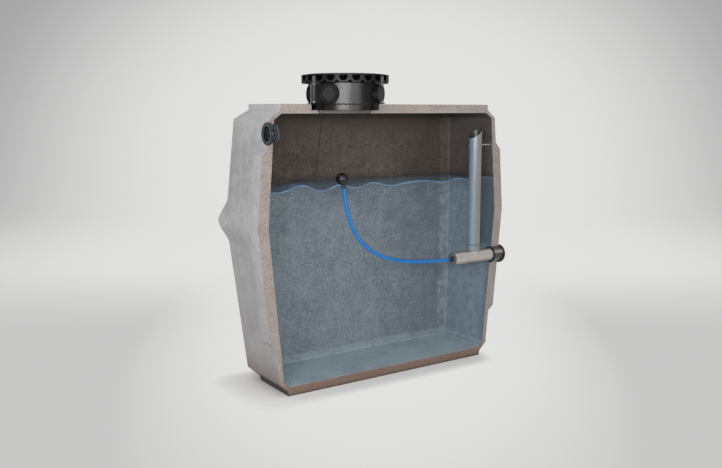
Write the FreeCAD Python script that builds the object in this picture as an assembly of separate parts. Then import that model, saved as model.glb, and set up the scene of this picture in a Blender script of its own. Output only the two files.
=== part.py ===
import FreeCAD, Part
import math
import os
from FreeCAD import Vector

# Sectioned precast concrete rainwater tank, millimetres, +Z up.
# The tank is cut along its long mid plane and the back half is kept, with its
# fittings whole. Pieces are modelled with the cut plane at Y = 0, X along the
# tank and Z = 0 on the ground, and are moved to stand over the plinth's middle.

# Driving dimensions of the concrete body
tank_height = 2250.0         # ground to the top of the raised roof
waist_height = 1325.0        # level of the widest line
waist_half_length = 1176.0   # outer wall at the waist, without rib and belt
waist_half_width = 730.0
lower_draft = 112.0          # the walls lean in by this from the waist to the heel
upper_draft = 60.0           # and by this from the waist to the shoulder
wall = 42.0                  # wall thickness, measured level
corner_leg = 65.0            # chamfer of the upright corners, inside and outside
plinth_height = 40.0
plinth_draft = 6.0
heel_height = 110.0          # top of the outer chamfer above the plinth
heel_chamfer = 73.0
shoulder_rise = 73.0         # outer chamfer below the roof's upright edge
shoulder_chamfer = 89.0
roof_edge = 43.0             # height of that upright edge
floor_level = 78.0
floor_haunch = 41.0
floor_haunch_rise = 51.0
roof_thickness = 72.0
ceiling_haunch = 63.0

# Rib on each end wall and belt round the waist
rib_proud = 50.0
rib_half_width = 138.0
rib_foot = 401.0
rib_foot_slope = 46.0
rib_head_drop = 211.0        # rib's top end below the shoulder
rib_head_slope = 62.0
belt_proud = 57.0
belt_root = 324.0            # height of the belt at the wall
belt_crest = 60.0            # height of the flat of its crest
belt_round = 90.0            # radius of the crest's edges

# Manhole in the roof
manhole_from_end = 720.0     # manhole's axis from the left wall at the waist
manhole_radius = 240.0       # clear opening through the slab
rebate_depth = 46.0
rebate_margin = 30.0         # slab panel past the rebate's edge

# Manhole neck, its blank ports and the lid
neck_ledge = 12.0            # the neck's foot stands back this far from the opening
neck_wall = 10.0
neck_band_inset = 8.0        # the foot band is this much smaller in radius
neck_band_height = 40.0
port_count = 3
port_first_angle = 213.0
port_step_angle = -90.0
port_radius = 70.0
port_wall = 8.0
port_clear = 4.0             # port caps clear of the roof and of the lid's rim
port_reach = 20.0            # stub proud of the neck
port_cap_thickness = 10.0
port_cap_lip = 4.0
port_cap_recess = 5.0
port_cap_recess_radius = 56.0
lid_overhang = 65.0          # lid's rim past the neck
lid_rim_height = 63.0
lid_rim_width = 38.0
lid_plate = 8.0
lid_shoulder = 6.0           # flat ring round the raised top
lid_top_rise = 6.0
lid_top_chamfer = 40.0       # width of the raised top's sloping edge
lid_pocket_count = 22
lid_pocket_first_angle = 235.0
lid_pocket_width = 60.0
lid_pocket_height = 42.0
lid_pocket_depth = 26.0
lid_notch_radius = 16.0      # round gap in the rim's foot below each web between pockets

# Tie rods that hold the lid down
rod_webs = [19, 3, 8, 14]    # webs that carry a rod, counted from the first pocket
rod_past_rim = 3.0           # rod axis outside the lid's rim
rod_radius = 6.0
anchor_width = 36.0
anchor_room = 30.0           # rebate outside the neck
anchor_lug = 8.0             # thickness of the lug that carries the rod
anchor_lug_margin = 14.0     # lug past the rod's axis
anchor_rebate_gap = 3.0
clip_thickness = 8.0
clip_width = 30.0
clip_margin = 10.0           # clip's plate past the rod's axis
clip_tab_thickness = 6.0
clip_tab_height = 48.0       # tab above the rim's foot

# Pipes and seals
pipe_radius = 55.0
pipe_wall = 3.2
fit_gap = 0.3
inlet_drop = 218.0           # inlet axis below the roof's top
inlet_sleeve_wall = 8.7
inlet_sleeve_past_wall = 14.0
inlet_flange_width = 21.0
flange_lip = 12.0            # thinnest place of a seal's flange
drain_height = 920.0
outlet_sleeve_wall = 11.7
outlet_sleeve_past_wall = 15.0
outlet_flange_width = 14.0
outlet_stop_depth = 60.0     # free bore for the drain pipe outside the stop rib
outlet_stop_width = 6.0
riser_from_end = 283.0       # riser's axis from the right wall at the waist
socket_wall = 4.5
socket_depth = 45.0
branch_neck = 10.0           # riser's foot above the run
riser_drop = 244.0           # bevel on the riser's axis, below the roof's top
riser_bevel_angle = 38.0
cap_from_riser = 241.0       # closed end of the tee's end cap from the riser's axis
cap_length = 140.0
cap_end = 8.0
stay_drop = 102.0            # stay below the bevel
stay_radius = 6.0
stay_y = 20.0
clamp_height = 20.0
clamp_wall = 5.0
clamp_lug_length = 24.0
stay_plate_half = 18.0
stay_plate_thickness = 8.0

# Floating draw-off hose
hose_radius = 15.0
hose_arc_share = 0.45        # of the shorter run beside a bend, taken up by its arc
tail_length = 46.0
tail_collar = 12.0
tail_collar_flange = 9.0     # collar past the hose's radius
tail_body_wall = 3.0
float_radius = 48.0
float_lean = 17.0            # ball's centre to the left of the hose's end
float_neck = 28.0            # ball's foot above the hose's end
strap_width = 16.0
strap_thickness = 4.0
strap_tilt = 35.0
float_socket_wall = 4.0

# Heights and places that follow from them
roof_underside = tank_height - roof_thickness
plateau_foot = tank_height - roof_edge
shoulder_height = plateau_foot - shoulder_rise
rib_head = shoulder_height - rib_head_drop
haunch_top = floor_level + floor_haunch_rise
rebate_floor = tank_height - rebate_depth
manhole_x = manhole_from_end - waist_half_length
neck_radius = manhole_radius + neck_ledge + neck_wall + neck_band_inset
rebate_radius = neck_radius + anchor_room
manhole_panel = rebate_radius + rebate_margin
port_level = port_clear + port_cap_lip + port_radius
neck_rise = 2 * port_level + lid_rim_height - lid_plate
neck_top = tank_height + neck_rise
lid_plate_top = neck_top + lid_plate
lid_rim_foot = lid_plate_top - lid_rim_height
lid_radius = neck_radius + lid_overhang
lid_top_radius = lid_radius - lid_shoulder
lid_pocket_pitch = 360.0 / lid_pocket_count
rod_circle = lid_radius + rod_past_rim
pipe_bore = pipe_radius - pipe_wall
pipe_seat = pipe_radius + fit_gap
socket_radius = pipe_seat + socket_wall
inlet_height = tank_height - inlet_drop
inlet_sleeve_radius = pipe_seat + inlet_sleeve_wall
inlet_flange_radius = inlet_sleeve_radius + inlet_flange_width
outlet_sleeve_radius = pipe_seat + outlet_sleeve_wall
outlet_flange_radius = outlet_sleeve_radius + outlet_flange_width
riser_x = waist_half_length - riser_from_end
riser_top = tank_height - riser_drop
branch_rise = pipe_radius + branch_neck
stay_height = riser_top - stay_drop
cap_face_x = riser_x - cap_from_riser
hose_start_x = cap_face_x - tail_length
tail_collar_radius = hose_radius + tail_collar_flange
tail_body_radius = hose_radius + tail_body_wall
float_socket_radius = hose_radius + float_socket_wall
far = 2 * tank_height        # reach of cutting tools, past the whole tank

# Route of the hose in the cut plane as (X, Z) from the tail's end to the float's socket
hose_points = [
    (0.0, 0.0),
    (-124.0, 2.0),
    (-274.0, 10.0),
    (-424.0, 24.0),
    (-571.0, 53.0),
    (-716.0, 101.0),
    (-848.0, 174.0),
    (-949.0, 276.0),
    (-1018.0, 402.0),
    (-1059.0, 539.0),
    (-1077.0, 676.0),
]
hose_route = [(hose_start_x + x, drain_height + z) for x, z in hose_points]
hose_end_x, hose_end_z = hose_route[-1]
float_x = hose_end_x - float_lean
float_height = hose_end_z + float_neck + float_radius


# Shape of the drafted body

def between(z, low, high, low_value, high_value):
    """Value at height z on the straight line between two levels."""
    return low_value + (high_value - low_value) * (z - low) / (high - low)


def outer_inset(z):
    """How far the outer wall stands in from its place at the waist."""
    if z < heel_height:
        return between(z, plinth_height, heel_height, lower_draft + heel_chamfer, lower_draft)
    if z < waist_height:
        return between(z, heel_height, waist_height, lower_draft, 0.0)
    if z < shoulder_height:
        return between(z, waist_height, shoulder_height, 0.0, upper_draft)
    if z < plateau_foot:
        return between(z, shoulder_height, plateau_foot, upper_draft, upper_draft + shoulder_chamfer)
    return upper_draft + shoulder_chamfer


def inner_inset(z):
    """How far the inner wall stands in from the outer wall's place at the waist."""
    if z < haunch_top:
        foot = outer_inset(haunch_top) + wall
        return between(z, floor_level, haunch_top, foot + floor_haunch, foot)
    if z > shoulder_height:
        head = upper_draft + wall
        return between(z, shoulder_height, roof_underside, head, head + ceiling_haunch)
    return outer_inset(z) + wall


def half_length(inset):
    return waist_half_length - inset


def half_width(inset):
    return waist_half_width - inset


def half_plan(inset, z):
    """Half of the chamfered plan, from the left of the cut to its right."""
    x = half_length(inset)
    y = half_width(inset)
    return [
        Vector(-x, 0, z),
        Vector(-x, y - corner_leg, z),
        Vector(-x + corner_leg, y, z),
        Vector(x - corner_leg, y, z),
        Vector(x, y - corner_leg, z),
        Vector(x, 0, z),
    ]


def polygon_face(points):
    return Part.Face(Part.makePolygon(points + points[:1]))


def stack(rings):
    """Solid with flat faces through rings of points at rising levels."""
    faces = [polygon_face(rings[0]), polygon_face(rings[-1])]
    for low, high in zip(rings, rings[1:]):
        count = len(low)
        for i in range(count):
            j = (i + 1) % count
            faces.append(polygon_face([low[i], low[j], high[j], high[i]]))
    solid = Part.Solid(Part.Shell(faces))
    if solid.Volume < 0:
        solid.reverse()
    return solid


def wall_segment(side, levels):
    """Straight length of wall between corners side and side + 1 of the half plan."""
    rings = []
    for z in levels:
        outer = half_plan(outer_inset(z), z)
        inner = half_plan(inner_inset(z), z)
        rings.append([outer[side], outer[side + 1], inner[side + 1], inner[side]])
    return stack(rings)


def body_block(levels):
    """The body as if solid, between given levels."""
    return stack([half_plan(outer_inset(z), z) for z in levels])


def cylinder(radius, length, base, axis):
    return Part.makeCylinder(radius, length, base, axis)


def box(low, high):
    size = high - low
    return Part.makeBox(size.x, size.y, size.z, low)


def revolve_z(profile, x, y):
    """Turn a profile of (radius, height) points about the upright line through x, y."""
    points = [Vector(radius, 0, height) for radius, height in profile]
    solid = polygon_face(points).revolve(Vector(0, 0, 0), Vector(0, 0, 1), 360)
    return solid.translated(Vector(x, y, 0))


def revolve_x(profile, z):
    """Turn a profile of (x, radius) points about the level line at height z in the cut plane."""
    points = [Vector(along, 0, radius) for along, radius in profile]
    solid = polygon_face(points).revolve(Vector(0, 0, 0), Vector(1, 0, 0), 360)
    return solid.translated(Vector(0, 0, z))


# Concrete

def base_plinth():
    inset = outer_inset(plinth_height)
    return stack([half_plan(inset + plinth_draft, 0.0), half_plan(inset, plinth_height)])


def floor_slab():
    return body_block([plinth_height, floor_level])


lower_levels = sorted([floor_level, heel_height, haunch_top, waist_height])
upper_levels = [waist_height, shoulder_height, roof_underside]
inlet_seat = cylinder(inlet_sleeve_radius + fit_gap, far, Vector(-far, 0, inlet_height), Vector(1, 0, 0))
outlet_seat = cylinder(outlet_sleeve_radius + fit_gap, far, Vector(0, 0, drain_height), Vector(1, 0, 0))


def roof():
    """Roof slab with its raised top, chamfered edge and rebated manhole."""
    slab = body_block([roof_underside, plateau_foot, tank_height])
    opening = cylinder(manhole_radius, roof_thickness, Vector(manhole_x, 0, roof_underside), Vector(0, 0, 1))
    rebate = cylinder(rebate_radius, rebate_depth, Vector(manhole_x, 0, rebate_floor), Vector(0, 0, 1))
    return slab.cut(opening).cut(rebate)


def roof_panel(low_x, high_x):
    return roof().common(box(Vector(low_x, -far, 0), Vector(high_x, far, far)))


def rib_profile(proud):
    """Outline of an end rib in the cut plane as (x, z), for the right end."""
    low = rib_foot + rib_foot_slope
    high = rib_head - rib_head_slope
    outer = [(half_length(outer_inset(z)) + proud, z) for z in (low, waist_height, high)]
    root = [(half_length(outer_inset(z)), z) for z in (rib_head, waist_height, rib_foot)]
    return outer + root


def end_rib(sign):
    points = [Vector(sign * x, 0, z) for x, z in rib_profile(rib_proud)]
    return polygon_face(points).extrude(Vector(0, rib_half_width, 0))


def belt_face():
    """Section of the waist belt: X outwards from the wall at the waist, Z from the waist."""
    half_root = belt_root / 2
    half_crest = belt_crest / 2
    bury = wall / 2
    points = [
        Vector(-bury, 0, -half_root - bury),
        Vector(belt_proud, 0, -half_crest),
        Vector(belt_proud, 0, half_crest),
        Vector(-bury, 0, half_root + bury),
    ]
    return polygon_face(points)


def belt_bar(corner_a, corner_b):
    """Belt along one side of the half plan, mitred at both corners and cut to the wall."""
    along = corner_b - corner_a
    length = along.Length
    outwards = Vector(-along.y, along.x, 0).normalize()
    bar = belt_face().extrude(Vector(0, -length - 2 * belt_proud, 0))
    crest = []
    for edge in bar.Edges:
        middle = edge.CenterOfMass
        on_crest = abs(middle.x - belt_proud) < 1e-6
        if on_crest and edge.Length > length:
            crest.append(edge)
    bar = bar.makeFillet(belt_round, crest)
    turn = math.degrees(math.atan2(outwards.y, outwards.x))
    bar.rotate(Vector(0, 0, 0), Vector(0, 0, 1), turn)
    start = corner_a - along * (belt_proud / length)
    bar.translate(Vector(start.x, start.y, waist_height))
    return bar


def waist_belts():
    """Belt bars on the five sides that the cut leaves, in plan order."""
    corners = half_plan(0.0, 0.0)
    body = body_block([heel_height, waist_height]).fuse(body_block([waist_height, shoulder_height]))
    bars = []
    for side in range(5):
        bar = belt_bar(corners[side], corners[side + 1]).cut(body)
        bars.append(bar.common(mitre_wedge(corners, side)))
    return bars


def mitre_wedge(corners, side):
    """Upright prism that holds one side of the belt, mitred half way round each corner."""
    reach = 4 * belt_proud
    a = corners[side]
    b = corners[side + 1]
    points = []
    for point, other_side in ((a, side - 1), (b, side + 1)):
        this_way = (b - a).normalize()
        here = Vector(-this_way.y, this_way.x, 0)
        if 0 <= other_side < 5:
            that_way = (corners[other_side + 1] - corners[other_side]).normalize()
            there = Vector(-that_way.y, that_way.x, 0)
            mitre = (here + there).normalize()
        else:
            mitre = here
            point = Vector(point.x, rib_half_width, 0)
        points.append((point, mitre))
    (a, mitre_a), (b, mitre_b) = points
    ring = [a - mitre_a * reach, b - mitre_b * reach, b + mitre_b * reach, a + mitre_a * reach]
    return polygon_face(ring).extrude(Vector(0, 0, tank_height))


# Rubber seals

def end_block(sign, levels, proud):
    """Space inside an end's outer line, for seating a seal's flange on it."""
    outer = [Vector(sign * (half_length(outer_inset(z)) + proud), -far, z) for z in levels]
    points = [Vector(0, -far, levels[0])] + outer + [Vector(0, -far, levels[-1])]
    return polygon_face(points).extrude(Vector(0, 2 * far, 0))


def seal_section(face_x, seat_x, end_x, flange_radius, sleeve_radius):
    return [
        (face_x, pipe_seat),
        (face_x, flange_radius),
        (seat_x, flange_radius),
        (seat_x, sleeve_radius),
        (end_x, sleeve_radius),
        (end_x, pipe_seat),
    ]


def stop_rib(start_x, end_x):
    """Steps of a seal's bore where a rib parts the tee from the drain pipe."""
    return [(start_x, pipe_seat), (start_x, pipe_bore), (end_x, pipe_bore), (end_x, pipe_seat)]


inlet_face_x = -half_length(outer_inset(inlet_height - inlet_flange_radius)) - flange_lip
inlet_seat_x = -half_length(outer_inset(inlet_height + inlet_flange_radius))
inlet_end_x = -half_length(inner_inset(inlet_height)) + inlet_sleeve_past_wall
outlet_face_x = half_length(outer_inset(drain_height + outlet_flange_radius)) + rib_proud + flange_lip
outlet_seat_x = half_length(outer_inset(drain_height - outlet_flange_radius)) + rib_proud
outlet_end_x = half_length(inner_inset(drain_height)) - outlet_sleeve_past_wall
outlet_stop_x = outlet_face_x - outlet_stop_depth - outlet_stop_width


def flanged_seal(face_x, seat_x, end_x, flange_radius, sleeve_radius, height, block, rib):
    """Sleeve in the wall with a flange whose back follows the leaning wall."""
    section = seal_section(face_x, seat_x, end_x, flange_radius, sleeve_radius)
    ring = revolve_x(section + rib, height)
    inner_end = Vector(min(face_x, end_x), 0, height)
    sleeve = cylinder(sleeve_radius, abs(end_x - face_x), inner_end, Vector(1, 0, 0))
    return ring.cut(block.cut(sleeve))


def inlet_seal():
    block = end_block(-1, [waist_height, shoulder_height], 0.0)
    return flanged_seal(inlet_face_x, inlet_seat_x, inlet_end_x, inlet_flange_radius,
                        inlet_sleeve_radius, inlet_height, block, [])


def outlet_seal():
    block = end_block(1, [heel_height, waist_height], rib_proud)
    return flanged_seal(outlet_face_x, outlet_seat_x, outlet_end_x, outlet_flange_radius,
                        outlet_sleeve_radius, drain_height, block,
                        stop_rib(outlet_stop_x, outlet_stop_x + outlet_stop_width))


# Drain tee, riser and stay

def level_tube(radius, bore, start_x, end_x):
    base = Vector(start_x, 0, drain_height)
    outside = cylinder(radius, end_x - start_x, base, Vector(1, 0, 0))
    return outside.cut(cylinder(bore, end_x - start_x, base, Vector(1, 0, 0)))


run_start_x = cap_face_x + cap_end + fit_gap
riser_foot = drain_height + branch_rise


def drain_tee():
    """Run through the outlet seal, with a socketed branch for the riser."""
    axis = Vector(riser_x, 0, drain_height)
    up = Vector(0, 0, 1)
    run_base = Vector(run_start_x, 0, drain_height)
    run_length = outlet_stop_x - run_start_x
    run = cylinder(pipe_radius, run_length, run_base, Vector(1, 0, 0))
    branch = cylinder(socket_radius, branch_rise + socket_depth, axis, up)
    tee = run.fuse(branch)
    tee = tee.cut(cylinder(pipe_bore, run_length, run_base, Vector(1, 0, 0)))
    tee = tee.cut(cylinder(pipe_bore, branch_rise + socket_depth, axis, up))
    seat = cylinder(pipe_seat, socket_depth, Vector(riser_x, 0, riser_foot), up)
    return tee.cut(seat)


def tee_end_cap():
    """Socket cap over the tee's free end, bored for the hose tail."""
    sleeve = level_tube(socket_radius, pipe_seat, cap_face_x + cap_end, cap_face_x + cap_length)
    end = level_tube(socket_radius, hose_radius, cap_face_x, cap_face_x + cap_end)
    return sleeve.fuse(end)


def hose_tail():
    body_end = cap_face_x - tail_collar
    bore = hose_radius / 2
    return revolve_x([
        (hose_start_x, bore),
        (hose_start_x, tail_body_radius),
        (body_end, tail_body_radius),
        (body_end, tail_collar_radius),
        (cap_face_x, tail_collar_radius),
        (cap_face_x, bore),
    ], drain_height)


def riser_pipe():
    base = Vector(riser_x, 0, riser_foot)
    length = riser_top + 2 * pipe_radius - riser_foot
    pipe = cylinder(pipe_radius, length, base, Vector(0, 0, 1))
    pipe = pipe.cut(cylinder(pipe_bore, length, base, Vector(0, 0, 1)))
    reach = 4 * pipe_radius
    waste = box(Vector(-reach, -reach, 0), Vector(reach, reach, 2 * reach))
    waste.rotate(Vector(0, 0, 0), Vector(0, 1, 0), -riser_bevel_angle)
    return pipe.cut(waste.translated(Vector(riser_x, 0, riser_top)))


clamp_radius = pipe_seat + clamp_wall
clamp_lug_x = riser_x + clamp_radius + clamp_lug_length


def riser_clamp():
    low = stay_height - clamp_height / 2
    base = Vector(riser_x, 0, low)
    ring = cylinder(clamp_radius, clamp_height, base, Vector(0, 0, 1))
    half = clamp_height / 2
    lug = box(Vector(riser_x, stay_y - half, low), Vector(clamp_lug_x, stay_y + half, low + clamp_height))
    hole = cylinder(pipe_seat, clamp_height, base, Vector(0, 0, 1))
    return ring.fuse(lug).cut(hole)


stay_end_x = half_length(inner_inset(stay_height + stay_plate_half)) - stay_plate_thickness


def stay_rod():
    length = stay_end_x - clamp_lug_x
    return cylinder(stay_radius, length, Vector(clamp_lug_x, stay_y, stay_height), Vector(1, 0, 0))


def stay_plate():
    """Foot of the stay, tapered to lie flat on the leaning wall."""
    low = stay_height - stay_plate_half
    high = stay_height + stay_plate_half
    points = [
        Vector(stay_end_x, stay_y - stay_plate_half, low),
        Vector(half_length(inner_inset(low)), stay_y - stay_plate_half, low),
        Vector(half_length(inner_inset(high)), stay_y - stay_plate_half, high),
        Vector(stay_end_x, stay_y - stay_plate_half, high),
    ]
    return polygon_face(points).extrude(Vector(0, 2 * stay_plate_half, 0))


# Hose and float

def hose_path(points):
    """Straight runs joined by tangent arcs as large as the runs allow."""
    radii = []
    edges = []
    here = points[0]
    for before, corner, after in zip(points, points[1:], points[2:]):
        back = (before - corner).normalize()
        ahead = (after - corner).normalize()
        run = min((corner - before).Length, (after - corner).Length)
        trim = hose_arc_share * run
        half_turn = (math.pi - back.getAngle(ahead)) / 2
        radii.append(trim / math.tan(half_turn))
        start = corner + back * trim
        end = corner + ahead * trim
        sag = radii[-1] * (1 / math.cos(half_turn) - 1)
        middle = corner + (back + ahead).normalize() * sag
        edges.append(Part.LineSegment(here, start).toShape())
        edges.append(Part.Arc(start, middle, end).toShape())
        here = end
    edges.append(Part.LineSegment(here, points[-1]).toShape())
    return Part.Wire(edges), radii


def suction_hose():
    path, radii = hose_path([Vector(x, 0, z) for x, z in hose_route])
    start = path.Vertexes[0].Point
    heading = path.Vertexes[1].Point - start
    circle = Part.makeCircle(hose_radius, start, heading)
    hose = path.makePipeShell([Part.Wire([circle])], True, False)
    section = math.pi * hose_radius ** 2
    print("hose radii", [round(radius) for radius in radii])
    print("hose length", round(path.Length), "volume ratio", round(hose.Volume / (section * path.Length), 4))
    return hose


float_centre = Vector(float_x, 0, float_height)


def float_ball():
    return Part.makeSphere(float_radius, float_centre)


def float_strap():
    """Flat band round the ball, leaning along the tank."""
    inside = float_radius + fit_gap
    base = Vector(0, 0, -strap_width / 2)
    band = cylinder(inside + strap_thickness, strap_width, base, Vector(0, 0, 1))
    band = band.cut(cylinder(inside, strap_width, base, Vector(0, 0, 1)))
    band.rotate(Vector(0, 0, 0), Vector(0, 1, 0), strap_tilt)
    return band.translated(float_centre)


def float_socket():
    """Spigot under the ball that holds the hose's end."""
    foot = Vector(hose_end_x, 0, hose_end_z)
    spigot = cylinder(float_socket_radius, float_height - hose_end_z, foot, Vector(0, 0, 1))
    spigot = spigot.cut(Part.makeSphere(float_radius + fit_gap, float_centre))
    return spigot.cut(float_strap())


# Manhole neck and lid

def about_neck(shape, angle):
    """Turn a piece made on +X about the neck's axis and set it in place."""
    shape = shape.copy()
    shape.rotate(Vector(0, 0, 0), Vector(0, 0, 1), angle)
    return shape.translated(Vector(manhole_x, 0, 0))


port_angles = [port_first_angle + port_step_angle * i for i in range(port_count)]
port_axis = Vector(0, 0, tank_height + port_level)


def web_angle(number):
    return lid_pocket_first_angle + lid_pocket_pitch * (number + 0.5)


def manhole_neck():
    """Cylinder with a smaller foot band and short blank port stubs."""
    band = neck_radius - neck_band_inset
    band_top = rebate_floor + neck_band_height
    profile = [
        (band - neck_wall, rebate_floor),
        (band, rebate_floor),
        (band, band_top),
        (neck_radius, band_top + neck_band_inset),
        (neck_radius, neck_top),
        (neck_radius - neck_wall, neck_top),
        (neck_radius - neck_wall, band_top + neck_band_inset),
        (band - neck_wall, band_top),
    ]
    neck = revolve_z(profile, manhole_x, 0)
    core = cylinder(neck_radius - neck_wall / 2, far, Vector(0, 0, 0), Vector(0, 0, 1))
    stub = cylinder(port_radius, neck_radius + port_reach, port_axis, Vector(1, 0, 0))
    stub = stub.cut(cylinder(port_radius - port_wall, neck_radius + port_reach, port_axis, Vector(1, 0, 0)))
    stub = stub.cut(core)
    for angle in port_angles:
        neck = neck.fuse(about_neck(stub, angle))
    return neck


def port_cap(angle):
    base = port_axis + Vector(neck_radius + port_reach, 0, 0)
    cap = cylinder(port_radius + port_cap_lip, port_cap_thickness, base, Vector(1, 0, 0))
    face = base + Vector(port_cap_thickness - port_cap_recess, 0, 0)
    cap = cap.cut(cylinder(port_cap_recess_radius, port_cap_recess, face, Vector(1, 0, 0)))
    return about_neck(cap, angle)


def lid_pocket():
    """Round-bottomed pocket sunk into the lid's rim from outside, made on +X."""
    top = lid_plate_top - lid_plate
    half = lid_pocket_width / 2
    start = lid_radius - lid_pocket_depth
    foot = top - lid_pocket_height
    slot = box(Vector(start, -half, foot + half), Vector(lid_radius + half, half, top))
    round_end = cylinder(half, lid_pocket_depth + half, Vector(start, 0, foot + half), Vector(1, 0, 0))
    return slot.fuse(round_end.common(box(Vector(start, -half, foot), Vector(far, half, foot + half))))


def lid_notch():
    """Round gap cut up into the rim's foot below a web, made on +X."""
    start = Vector(lid_radius - lid_pocket_depth, 0, lid_rim_foot)
    return cylinder(lid_notch_radius, 2 * lid_pocket_depth, start, Vector(1, 0, 0))


def lid():
    """Cap with a raised top and a thick rim ringed by open pockets, scalloped between them."""
    inside = lid_radius - lid_rim_width
    top = lid_plate_top + lid_top_rise
    profile = [
        (0.0, neck_top),
        (inside, neck_top),
        (inside, lid_rim_foot),
        (lid_radius, lid_rim_foot),
        (lid_radius, lid_plate_top),
        (lid_top_radius, lid_plate_top),
        (lid_top_radius - lid_top_chamfer, top),
        (0.0, top),
    ]
    cover = revolve_z(profile, manhole_x, 0)
    pocket = lid_pocket()
    notch = lid_notch()
    cuts = []
    for number in range(lid_pocket_count):
        cuts.append(about_neck(pocket, lid_pocket_first_angle + lid_pocket_pitch * number))
        cuts.append(about_neck(notch, web_angle(number)))
    return cover.cut(Part.makeCompound(cuts))


def anchor(angle):
    """Hook in the rebate beside the neck, with a lug over the roof for a tie rod."""
    half = anchor_width / 2
    inside = neck_radius + fit_gap
    outside = rebate_radius - anchor_rebate_gap
    lug_top = tank_height + anchor_lug
    block = box(Vector(0, -half, rebate_floor), Vector(outside, half, lug_top))
    lug = box(Vector(0, -half, tank_height), Vector(rod_circle + anchor_lug_margin, half, lug_top))
    core = cylinder(inside, far, Vector(0, 0, 0), Vector(0, 0, 1))
    return about_neck(block.fuse(lug).cut(core), angle)


def lid_clip(angle):
    """Plate under the lid's rim that the tie rod's head bears on, with a tab up the web."""
    inside = lid_radius - lid_rim_width
    outside = rod_circle + clip_margin
    tab_inside = lid_radius + fit_gap
    tab_outside = tab_inside + clip_tab_thickness
    foot = lid_rim_foot - clip_thickness
    tab_top = lid_rim_foot + clip_tab_height
    outline = [
        (inside, foot),
        (outside, foot),
        (outside, lid_rim_foot),
        (tab_outside, lid_rim_foot),
        (tab_outside, tab_top),
        (tab_inside, tab_top),
        (tab_inside, lid_rim_foot),
        (inside, lid_rim_foot),
    ]
    points = [Vector(x, -clip_width / 2, z) for x, z in outline]
    clip = polygon_face(points).extrude(Vector(0, clip_width, 0))
    return about_neck(clip, angle)


def tie_rod(angle):
    low = tank_height + anchor_lug
    high = lid_rim_foot - clip_thickness
    rod = cylinder(rod_radius, high - low, Vector(rod_circle, 0, low), Vector(0, 0, 1))
    return about_neck(rod, angle)


# The assembly, one node each

nodes = {}
nodes["base_plinth"] = base_plinth()
nodes["floor_slab"] = floor_slab()
side_names = ["left_end", "left_corner", "back", "right_corner", "right_end"]
for side, name in enumerate(side_names):
    nodes[name + "_wall_lower"] = wall_segment(side, lower_levels)
    nodes[name + "_wall_upper"] = wall_segment(side, upper_levels)
nodes["left_end_wall_upper"] = nodes["left_end_wall_upper"].cut(inlet_seat)
nodes["right_end_wall_lower"] = nodes["right_end_wall_lower"].cut(outlet_seat)
nodes["roof_left"] = roof_panel(-far, manhole_x - manhole_panel)
nodes["roof_manhole"] = roof_panel(manhole_x - manhole_panel, manhole_x + manhole_panel)
nodes["roof_right"] = roof_panel(manhole_x + manhole_panel, far)
nodes["left_end_rib"] = end_rib(-1)
nodes["right_end_rib"] = end_rib(1).cut(outlet_seat)
for name, belt in zip(side_names, waist_belts()):
    nodes[name + "_belt"] = belt
nodes["inlet_seal"] = inlet_seal()
nodes["outlet_seal"] = outlet_seal()
nodes["drain_tee"] = drain_tee()
nodes["tee_end_cap"] = tee_end_cap()
nodes["riser_pipe"] = riser_pipe()
nodes["riser_clamp"] = riser_clamp()
nodes["stay_rod"] = stay_rod()
nodes["stay_plate"] = stay_plate()
nodes["hose_tail"] = hose_tail()
nodes["suction_hose"] = suction_hose()
nodes["float_ball"] = float_ball()
nodes["float_strap"] = float_strap()
nodes["float_socket"] = float_socket()
nodes["manhole_neck"] = manhole_neck()
nodes["lid"] = lid()
for number, angle in enumerate(port_angles, 1):
    nodes["port_cap_%d" % number] = port_cap(angle)
for number, web in enumerate(rod_webs, 1):
    angle = web_angle(web)
    nodes["tie_rod_%d" % number] = tie_rod(angle)
    nodes["anchor_%d" % number] = anchor(angle)
    nodes["lid_clip_%d" % number] = lid_clip(angle)

os.makedirs("parts", exist_ok=True)
to_plinth_middle = Vector(0, -half_width(outer_inset(plinth_height) + plinth_draft) / 2, 0)
for name, shape in nodes.items():
    if len(shape.Solids) == 1:
        shape = shape.Solids[0]
    placed = shape.translated(to_plinth_middle)
    print(name, placed.ShapeType, placed.isValid(), len(placed.Solids), round(placed.Volume / 1e6, 3))
    placed.exportStep("parts/" + name + ".step")
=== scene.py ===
import math

import bmesh
import bpy
from mathutils import Matrix, Vector


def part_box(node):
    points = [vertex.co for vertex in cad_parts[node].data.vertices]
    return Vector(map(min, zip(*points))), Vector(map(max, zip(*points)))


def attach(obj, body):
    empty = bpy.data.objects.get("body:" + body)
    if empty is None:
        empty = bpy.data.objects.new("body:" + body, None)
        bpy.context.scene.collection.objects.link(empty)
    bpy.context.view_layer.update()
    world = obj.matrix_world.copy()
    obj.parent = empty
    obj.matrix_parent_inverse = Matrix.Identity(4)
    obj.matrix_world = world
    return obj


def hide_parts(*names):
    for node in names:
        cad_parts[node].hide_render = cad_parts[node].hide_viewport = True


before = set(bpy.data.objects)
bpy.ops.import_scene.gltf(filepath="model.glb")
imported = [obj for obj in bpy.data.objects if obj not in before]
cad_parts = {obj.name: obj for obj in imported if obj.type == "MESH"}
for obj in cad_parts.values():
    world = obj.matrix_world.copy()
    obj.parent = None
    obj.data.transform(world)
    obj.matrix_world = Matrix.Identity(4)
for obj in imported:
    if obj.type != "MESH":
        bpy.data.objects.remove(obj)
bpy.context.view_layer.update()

bl_info = {
    "name": "Sectioned Rainwater Tank",
    "version": (1, 0, 0),
    "blender": (4, 5, 0),
    "location": "3D View > Sidebar > Rainwater Tank",
    "description": "Builds a concrete rainwater tank cut along its middle, with its fittings and its water",
    "category": "Add Mesh",
}


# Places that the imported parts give

def low(node):
    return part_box(node)[0]


def high(node):
    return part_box(node)[1]


def middle(node):
    return (low(node) + high(node)) / 2


cut_y = low("base_plinth").y
neck_x = middle("lid").x
waist_half_length = high("right_end_wall_upper").x
mm = 0.001


# Properties

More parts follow.
